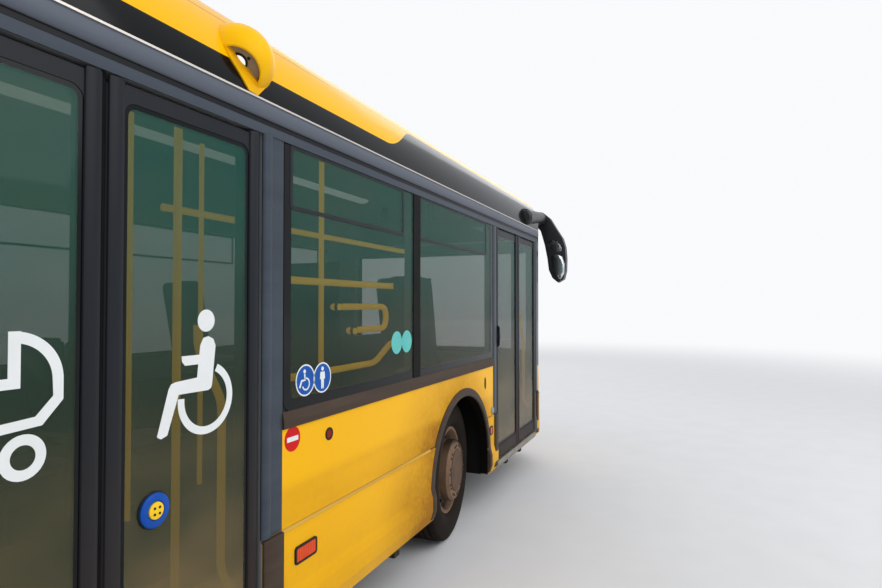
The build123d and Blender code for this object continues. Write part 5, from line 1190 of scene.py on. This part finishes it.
# Posts that stand on the low floor, along the bus and across it.
COLLAR_POSTS = ((-2.760, 0.300), (-1.980, -0.700), (-1.400, 0.310), (-0.640, -0.520), (0.640, -0.520))
window_rails, brackets = Form(), Form()
for stops, bend in (UPPER_RAIL, LOWER_RAIL, LOOP_RAIL):
    ends = [in_bay(*stop, RAIL_END) for stop in (stops[0], stops[-1])]
    path = [ends[0]] + [in_bay(*stop) for stop in stops] + [ends[1]]
    window_rails.tube(bent(path, bend), TUBE)
    for end in ends:
        brackets.turned(BRACKET, end - Vector((0, 0.001, 0)), (0, 1, 0), 20)
window_rails.made("window_rails", glowing_rail_finish, slot="rail_yellow")
for place, across in COLLAR_POSTS:
    for level, way in ((FLOOR_TOP, 1), (CEILING - 0.001, -1)):
        brackets.turned(COLLAR, (along(place), across, level), (0, 0, way), 20, closed=True)
brackets.made("rail_brackets", satin_black)
# Grab rail of a leaf: distance from its hung edge, distance inside the leaf, and height.
GRAB_RAIL = ((0.085, 0.0, 0.62), (0.085, 0.055, 0.68), (0.085, 0.055, 1.30), (0.200, 0.055, 1.50),
             (0.200, 0.055, 1.58))
for name, way in LEAVES.items():
    low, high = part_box(f"{name}_leaf")
    hung = high.x if way > 0 else low.x
    path = [(hung - way * run, low.y + 0.038 + depth, level) for run, depth, level in GRAB_RAIL]
    Form().tube(bent(path, 0.045), 0.0150).made(f"{name}_grab_rail", glowing_rail_finish, name, "rail_yellow")
PULL_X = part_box("front_door_rear_leaf")[0].x + 0.028
PULL_LEVEL = 1.39
PULL_BOW = ((0.004, -0.09), (-0.012, -0.07), (-0.014, 0.0), (-0.012, 0.07), (0.004, 0.09))
pull = Form().tube([(PULL_X, SIDE_Y + out, PULL_LEVEL + up) for out, up in PULL_BOW], 0.009)
pull.made("door_pull_handle", satin_black, "front_door_rear")

# Seats. Moulded shells on steel legs carry thin upholstered pads for seat and back, in
# blue flat-woven cloth with a fine fleck and a darker welt sewn round each pad.
shell_finish = plain_plastic("seat_shell", tint(54, 58, 64), tint(76, 80, 86), 0.4)
welt_cloth = plain_plastic("seat_welt", tint(20, 26, 48), tint(34, 42, 70), 0.75)
cloth = Finish("seat_cloth", Sheen_Weight=0.35, Sheen_Roughness=0.5)
x, y, z = cloth.place()
THREAD = 0.0042
warp, weft = y.wave(THREAD), (x + z).wave(THREAD)
fleck = cloth.mottle(170.0, 2.0).rise(0.56, 0.62)
ground = cloth.mixed(cloth.mottle(2.5, 4.0), tint(30, 48, 104), tint(42, 64, 124))
cloth.wear(Base_Color=cloth.mixed(fleck * 0.8, ground, tint(196, 168, 62)), Roughness=warp * 0.04 + 0.86,
           Normal=cloth.relief(warp * weft * 0.25 + 0.5, 0.0008, 0.6))
PAD_STEPS = 12
WELT_STEPS = 14
PULLED_IN = 0.035
PAD_THICK = 0.045
PAD_CROWN = 0.006
WELT_LEVEL = PAD_THICK * 0.35
SIDEWAYS = Vector((0, 1, 0))


def edge(s):
    """Share of a pad's half width at a place between its corners, which lie at -1 and 1."""
    return 1 - PULLED_IN * (1 - s * s)


def pad_form(form, welts, put, length, width):
    """Crowned pad: its sides pull in between the corners and two sewn channels cross it."""
    def spot(u, v, height):
        return put(length / 2 * u * edge(v), width / 2 * v * edge(u), height)

    places = [-1 + 2 * k / PAD_STEPS for k in range(PAD_STEPS + 1)]
    top, low = [], []
    for u in places:
        channel = sum(math.exp(-((u - c) / 0.07) ** 2) for c in (-0.36, 0.30))
        falls = [((1 - abs(u) ** 3.2) * (1 - abs(v) ** 3.2)) ** 0.42 for v in places]
        top.append([spot(u, v, WELT_LEVEL + (PAD_THICK * 0.65 + PAD_CROWN) * fall - 0.006 * channel * fall)
                    for v, fall in zip(places, falls)])
        low.append([spot(u, v, WELT_LEVEL * (1 - fall)) for v, fall in zip(places, falls)])
    form.skin(top, closed=False)
    form.skin(low, closed=False)
    steps = [-1 + 2 * k / WELT_STEPS for k in range(WELT_STEPS)]
    loop = [(u, -1) for u in steps] + [(1, v) for v in steps] + [(-u, 1) for u in steps]
    loop += [(-1, -v) for v in steps] + [(-1, -1)]
    welts.tube([spot(u, v, WELT_LEVEL) for u, v in loop], 0.0042, 6)


def seat_row(row, foot_x, y_low, places, feet, base, wide, seat, back, legs=()):
    """Shells and pads of one row; seat and back are the ends of the pads' sections, given as
    distance forward of the foot and height."""
    pads, shells, welts = row
    seat, back = [[Vector((foot_x + a, 0, feet + b)) for a, b in ends] for ends in (seat, back)]
    for k in range(places):
        across = SIDEWAYS * (y_low + wide * (k + 0.5))
        for (start, end), reach in ((seat, 0.96), (back, 0.97)):
            run = end - start
            ahead = run.normalized()
            over = (-SIDEWAYS).cross(ahead)
            if over.x + over.z < 0:
                over = -over
            centre = across + start + run / 2

            def put(a, b, c, centre=centre, ahead=ahead, over=over):
                return centre + ahead * a + SIDEWAYS * b + over * c

            def pad_put(a, b, c, put=put):
                return put(a, b, c - PAD_THICK + 0.004)

            pad_form(pads, welts, pad_put, run.length * reach, wide * 0.90)
            rows = []
            for depth, share in ((-0.061, 0.93), (-0.047, 1.0), (-0.035, 1.0)):
                half_long, half_wide = run.length / 2 * share, wide * 0.475 * share
                outline = rounded(-half_long, half_long, -half_wide, half_wide, 0.055, 5)
                rows.append([put(a, b, depth) for a, b in outline])
            shells.solid(rows)
        bow = [(-1, -0.05), (-0.8, -0.005), (0, -0.005), (0.8, -0.005), (1, -0.05)]
        shells.tube([across + back[1] + Vector((0.010, s * wide * 0.30, lift)) for s, lift in bow], 0.0125, 8)
    for reach, share in legs:
        foot = Vector((foot_x + reach, y_low + wide * places * share, base))
        head = Vector((foot.x, foot.y, seat[0].z - 0.05))
        shells.tube([foot, foot + Vector((0, 0, 0.02)), head], [0.045, 0.022, 0.022])


def upholstered(name, row, stands_for, shell_word="shell"):
    """Makes a row's pads, shells and welts."""
    pads, shells, welts = row
    softened = pads.made(f"{name}_pads", cloth, slot="seat_fabric", smooth=70, stands_for=(stands_for,))
    shells.made(f"{name}_{shell_word}", shell_finish, slot="interior_plastic", stands_for=(stands_for,))
    welts.made(f"{name}_welts", welt_cloth, slot="seat_fabric", stands_for=(stands_for,))


SEAT_WIDE = 0.430
INNER_WALL = WALL - 0.072
SEAT_ENDS = ((0.045, 0.432), (0.446, 0.452))
BACK_ENDS = ((0.028, 0.480), (-0.092, 1.076))
LEGS = ((0.190, 0.3), (0.190, 0.7))
LOW_FLOOR, DECK = 0.360, 0.800
# Foot of each row from the front axle, sides it stands on, seats in it, level of its
# floor, and level that its legs reach down to.
ROWS = [(-1.350, (1,), 2, LOW_FLOOR, LOW_FLOOR), (-2.100, (1,), 2, LOW_FLOOR, LOW_FLOOR),
        (-2.850, (1,), 2, LOW_FLOOR, LOW_FLOOR), (-3.600, (1,), 2, LOW_FLOOR, LOW_FLOOR),
        (-5.080, (1, -1), 2, DECK, DECK), (-5.830, (1, -1), 1, DECK, 1.100),
        (-6.400, (1, -1), 1, DECK, 1.100), (-7.150, (1, -1), 2, DECK, DECK),
        (-0.250, (1, -1), 1, 0.760, 1.060)]
row = (Form(), Form(), Form())
for foot, sides, places, feet, base in ROWS:
    for side in sides:
        y_low = min(side * INNER_WALL, side * (INNER_WALL - places * SEAT_WIDE))
        seat_row(row, along(foot), y_low, places, feet, base, SEAT_WIDE, SEAT_ENDS, BACK_ENDS, LEGS)
upholstered("seat", row, "passenger_seats", "shells")
bench_low, bench_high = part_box("rear_bench")
BENCH_X = along(-8.150)
BENCH_WIDE = (bench_high.y - bench_low.y) / 5
row = (Form(), Form(), Form())
seat_row(row, BENCH_X, bench_low.y, 5, bench_low.z, bench_low.z, BENCH_WIDE, ((0.035, 0.092), (0.496, 0.112)),
         ((0.020, 0.140), (-0.098, 0.636)))
plinth = rounded(0.010, 0.440, 0.002, 0.060, 0.010, 3)
row[1].prism(plinth, bench_low.y + 0.01, bench_high.y - 0.01,
             lambda a, b, c: (BENCH_X + a, c, bench_low.z + b))
upholstered("bench", row, "rear_bench")

# Driver's place. A sprung seat with upholstered pads stands on a boxed pedestal; the desk
# and the steering wheel are moulded in dark plastic, with two dials set in the desk.
driver_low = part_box("driver_seat")[0]
driver_x = along(1.150)
PEDESTAL_X, PEDESTAL_Y = driver_x + 0.210, 0.690
platform_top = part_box("cab_platform")[1].z
row = (Form(), Form(), Form())
seat_row(row, driver_x, driver_low.y + 0.012, 1, platform_top, platform_top, 0.456,
         ((0.040, 0.472), (0.470, 0.482)), ((0.058, 0.500), (-0.052, 1.172)))
for half, foot, head in ((0.130, 0.0, 0.10), (0.110, 0.10, 0.38)):
    outline = rounded(PEDESTAL_X - half, PEDESTAL_X + half, PEDESTAL_Y - half, PEDESTAL_Y + half, 0.03, 3)
    row[1].prism(outline, platform_top + foot, platform_top + head, lambda a, b, c: (a, b, c))
upholstered("driver_seat", row, "driver_seat")
dress(plain_plastic("desk_plastic", tint(30, 32, 35), tint(48, 51, 55), 0.5), "dashboard", "steering_wheel")
partition = grained("partition_panel", tint(20, 22, 24), tint(34, 37, 40), (4.0,), (0.2, 0.35, 30.0))
dress(partition, "cab_partition")
dress(plain_plastic("display_black", tint(10, 11, 12), tint(22, 23, 24), 0.3), "destination_sign")
dial_dark = plain_plastic("dial_faces", tint(16, 18, 20), tint(30, 32, 36), 0.25)
DIAL_FACING = (-1, 0, 0.3)
DIAL_RING = [(0.050, -0.006), (0.056, -0.006), (0.056, 0.010), (0.050, 0.012)]
DIAL_FACE = [(0.0, -0.004), (0.050, -0.004), (0.050, 0.003), (0.0, 0.004)]
dials, faces = Form(), Form()
for shift in (-0.10, 0.10):
    spot = (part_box("dashboard")[0].x + 0.017, PEDESTAL_Y + shift, 1.026)
    dials.turned(DIAL_RING, spot, DIAL_FACING, 28, closed=True)
    faces.turned(DIAL_FACE, spot, DIAL_FACING, 28)
dials.made("desk_dial_rings", satin_black)
faces.made("desk_dials", dial_dark, slot="interior_plastic")

# Ceiling. Two continuous light covers run the length of the passenger space over the
# seats, under a smooth painted lining.
light_cover = grained("light_covers", tint(226, 228, 224), tint(208, 212, 208), (6.0,), (0.2, 0.4, 20.0),
                      Emission_Strength=0.35)
cover_glow = light_cover.mixed(light_cover.mottle(6.0), tint(232, 236, 230), tint(214, 220, 214))
light_cover.wear(Emission_Color=cover_glow)
# Section of a cover: distance from the bus's middle, and depth below the ceiling.
COVER_SECTION = [(0.560, 0.001), (0.700, 0.001), (0.690, 0.024), (0.660, 0.034), (0.600, 0.034),
                 (0.570, 0.024)]
covers = Form()
for side in (-1, 1):
    section = [(side * a, CEILING - drop) for a, drop in COVER_SECTION]
    covers.prism(section, TAIL_JOINT + 0.25, CAP_JOINT - 0.30, lambda a, b, c: (c, a, b))
covers.made("ceiling_lights", light_cover, slot="lamp_lens")


# Windscreen, destination glass and rear window. Laminated panes bonded on, clear in the
# middle with a wide black printed edge; two wipers park along the screen's foot.
def framed_glass(name, windows, base, cover):
    """Glass that is printed black outside the given windows of half width, foot and head."""
    pane = Finish(name, Specular_IOR_Level=0.3)
    x, y, z = pane.place()
    clear = [(1 - abs(y).rise(half - 0.003, half)) * z.within(foot, head) for half, foot, head in windows]
    clear = clear[0].most(clear[-1])
    film = pane.mottle(1.8, 4.0)
    printed = pane.mixed(film, tint(12, 13, 15), tint(22, 24, 26))
    return pane.wear(
        Base_Color=pane.mixed(clear, printed, pane.mixed(film * 0.4, base, tint(60, 66, 62))),
        Alpha=1 - clear * (1 - cover),
        Roughness=film * 0.06 + 0.02,
    )


SCREEN_WINDOWS = [(1.060, 1.150, 2.230), (0.850, 2.372, 2.598)]
REAR_WINDOWS = [(0.860, 1.590, 2.236)]
dress(framed_glass("windscreen_glass", SCREEN_WINDOWS, tint(22, 40, 38), 0.35), "windscreen")
dress(framed_glass("rear_window_glass", REAR_WINDOWS, tint(16, 32, 30), 0.55), "rear_window")
NOSE_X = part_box("front_cap")[1].x
NOSE_BOW = 0.130
NOSE_RAKE = 0.110 / 1.816
RAKE_FOOT = 1.064
BEND_HALF = 1.275
WIPER_FOOT = 1.085
WIPER_BOSS = [(0.0, -0.012), (0.026, -0.012), (0.026, 0.010), (0.016, 0.020), (0.0, 0.022)]


def bowed(front, y):
    """Place along the bus of a front that is bowed across it."""
    return front - NOSE_BOW * (y / BEND_HALF) ** 2


def nose(y, z, proud=0.0):
    """Point on the curved front at a place across and a height."""
    return Vector((bowed(NOSE_X, y) - NOSE_RAKE * max(z - RAKE_FOOT, 0.0) + proud, y, z))


wipers = Form()
for pivot, end, blade_start, blade_run in ((0.560, -0.300, 0.42, -0.84), (-0.420, -0.980, 0.10, 0.60)):
    arm = [nose(pivot + (end - pivot) * t, WIPER_FOOT + 0.055 * t, 0.012 + 0.010 * math.sin(math.pi * t))
           for t in (k / 8 for k in range(9))]
    blade = [nose(end + blade_start + blade_run * k / 12, 1.150, 0.006) for k in range(13)]
    wipers.tube(arm, [0.012 - 0.0007 * k for k in range(9)], 8)
    wipers.turned(WIPER_BOSS, nose(pivot, WIPER_FOOT), (1, 0, 0), 20)
    wipers.tube(blade, 0.0065, 6)
    wipers.tube([p + Vector((0.008, 0, 0.004)) for p in blade[3:10]], 0.0045, 6)
wipers.made("wipers", satin_black)

# Front details. A low black intake between the headlamps has flat bars across it, and
# bright rings close the gaps round the lamps.
lens_clear = grained("headlamp_lens", tint(206, 210, 214), tint(168, 172, 178), (40.0,), (0.1, 0.08, 60.0),
                     Coat_Weight=1.0, Coat_Roughness=0.03, Metallic=0.35)
x, y, z = lens_clear.place()
dress(lens_clear.ribbed(y, 0.012, 0.0015, 0.5), "headlamps")
chrome = grained("chrome_ring", tint(196, 198, 202), tint(160, 162, 168), (12.0,), (0.15, 0.10, 30.0),
                 Metallic=1.0)
BUMPER_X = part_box("front_bumper")[1].x
LAMP_LEVEL = 0.545
BAR_SECTION = ((-0.020, -0.008), (-0.002, -0.008), (0.0, -0.004), (-0.002, 0.008), (-0.020, 0.012))
rings, grille = Form(), Form()
for side in (-1, 1):
    for y, radius in ((0.900, 0.085), (0.700, 0.070)):
        slope = math.atan(2 * NOSE_BOW * y / BEND_HALF ** 2)
        facing_out = Vector((math.cos(slope), side * math.sin(slope), 0))
        spot = Vector((bowed(BUMPER_X, y), side * y, LAMP_LEVEL)) - facing_out * 0.004
        ring = [(radius * share, n) for share, n in ((1.010, -0.012), (1.11, -0.012), (1.10, 0.001),
                                                     (1.05, 0.004), (1.010, 0.0))]
        rings.turned(ring, spot, facing_out, 40, closed=True)
rings.made("headlamp_rings", chrome, slot="rim_paint")


def bars_across(form, place, levels, low_y, high_y, steps, section):
    """Level bars of one section that follow a bowed face; place(y, level) is on the face."""
    for level in levels:
        ways = [low_y + (high_y - low_y) * k / steps for k in range(steps + 1)]
        form.solid([[place(y, level) + Vector((a, 0, b)) for a, b in section] for y in ways])


GRILLE_LEVELS = [0.405 + 0.040 * k for k in range(7)]
bars_across(grille, lambda y, z: Vector((bowed(BUMPER_X - 0.001, y), y, z)), GRILLE_LEVELS, -0.520, 0.520, 12,
            BAR_SECTION)
backing_ys = [-0.535 + 1.07 * k / 12 for k in range(13)]
grille.skin([[(bowed(BUMPER_X + 0.0006, y), y, level) for y in backing_ys] for level in (0.385, 0.665)],
            closed=False)
grille.made("front_grille", satin_black)

# Rear details. Round lamps, amber over red over white, stand in dark rings at each
# corner; the engine flap has rows of pressed louvres and a lift handle.
tail_lens = Finish("tail_lamp_lens", Coat_Weight=0.3, Coat_Roughness=0.04)
x, y, z = tail_lens.place()
AMBER_FOOT, WHITE_HEAD = 1.190, 1.070
amber = z.rise(AMBER_FOOT - 0.001, AMBER_FOOT + 0.001)
lowest = 1 - z.rise(WHITE_HEAD - 0.001, WHITE_HEAD + 0.001)
red_or_amber = tail_lens.mixed(amber, tint(150, 2, 6), tint(226, 96, 2))
lamps = tail_lens.mixed(tail_lens.mottle(30.0) * 0.3, red_or_amber, tint(90, 16, 10))
tail_lens.wear(
    Base_Color=tail_lens.mixed(lowest, lamps, tint(214, 212, 206)),
    Roughness=tail_lens.mottle(50.0) * 0.1 + 0.10,
)
dress(tail_lens.ribbed(y + z, 0.010, 0.001, 0.5), "tail_lamps")
TAIL_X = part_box("rear_cap")[0].x
TAIL_BOW = 0.045
TAIL_RING = [(0.0485, -0.020), (0.058, -0.020), (0.057, 0.004), (0.053, 0.008), (0.0485, 0.004)]
LOUVRE_SECTION = ((0.0015, 0.0), (-0.0120, 0.004), (-0.0125, 0.008), (-0.0060, 0.022), (0.0015, 0.034))
LOUVRE_LEVELS = [0.780 + 0.050 * k for k in range(9)]
HANDLE_LEVEL = 0.660
rings = Form()
for side in (-1, 1):
    for level in (1.250, 1.130, 1.010):
        spot = (TAIL_X + 0.058, side * 1.080, level)
        rings.turned(TAIL_RING, spot, (-1, side * 0.30, 0), closed=True)
rings.made("tail_lamp_rings", satin_black)


def tail(y, z, proud=0.0):
    return Vector((TAIL_X + TAIL_BOW * (y / BEND_HALF) ** 2 - proud, y, z))


louvres = Form()
for low_y, high_y in ((-0.720, -0.060), (0.060, 0.720)):
    bars_across(louvres, tail, LOUVRE_LEVELS, low_y, high_y, 8, LOUVRE_SECTION)
louvres.made("flap_louvres", satin_black, "engine_flap")
grip = [tail(y, HANDLE_LEVEL, proud)
        for y, proud in ((-0.11, -0.002), (-0.11, 0.020), (0.11, 0.020), (0.11, -0.002))]
Form().tube(bent(grip, 0.014), 0.0085, 10).made("flap_handle", satin_black, "engine_flap")

# Roof plant. The air-conditioning cover is glass-fibre with two round fans under wire
# guards and slotted sides; the three hatches are ribbed grey-white mouldings.
dress(plain_plastic("plant_cover", tint(196, 200, 200), tint(176, 180, 178), 0.45), "roof_unit")
hatch_finish = grained("hatch_moulding", tint(204, 206, 204), tint(166, 166, 160), (5.0, 5.0),
                       (0.2, 0.45, 20.0))
x, y, z = hatch_finish.place()
dress(hatch_finish.ribbed(x, 0.070, 0.003, 0.5), "roof_hatches")
unit_low, unit_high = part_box("roof_unit")
unit_middle = (unit_low.x + unit_high.x) / 2
UP = Vector((0, 0, 1))
FAN_SHIFT = 0.620
FAN_RADIUS = 0.300
WIRE = 0.0035
WELL = [(0.0, 0.0005), (FAN_RADIUS, 0.0005), (FAN_RADIUS, 0.0022), (0.0, 0.0024)]
guards, wells, slots = Form(), Form(), Form()
for shift in (-FAN_SHIFT, FAN_SHIFT):
    hub = Vector((unit_middle + shift, 0, unit_high.z - 0.004))
    wells.turned(WELL, hub + UP * 0.001, UP, 40)
    for radius in (0.060, 0.110, 0.160, 0.210, 0.260, FAN_RADIUS):
        turns = circle(36)
        ring = [hub + Vector((radius * math.cos(t), radius * math.sin(t), 0)) for t in turns + [2 * math.pi]]
        guards.tube(ring, WIRE, 5, ends=False)
    for t in circle(8)[:4]:
        spoke = Vector((math.cos(t), math.sin(t), 0)) * FAN_RADIUS
        guards.tube([hub - spoke, hub + spoke], WIRE, 5)
wells.made("plant_fan_wells", satin_black)
guards.made("plant_fan_guards", chassis)
TAPER = math.tan(math.radians(12))
SLOT_PITCH = 0.14
SLOT_HALF = 0.040
for side in (-1, 1):
    for k in range(16):
        place = unit_middle - 1.05 + SLOT_PITCH * k
        rows = [[Vector((place + run, side * (unit_high.y - TAPER * (level - unit_low.z) + 0.0008), level))
                 for level in (unit_low.z + 0.040, unit_high.z - 0.050)] for run in (-SLOT_HALF, SLOT_HALF)]
        slots.skin(rows, closed=False)
slots.made("plant_side_slots", satin_black)
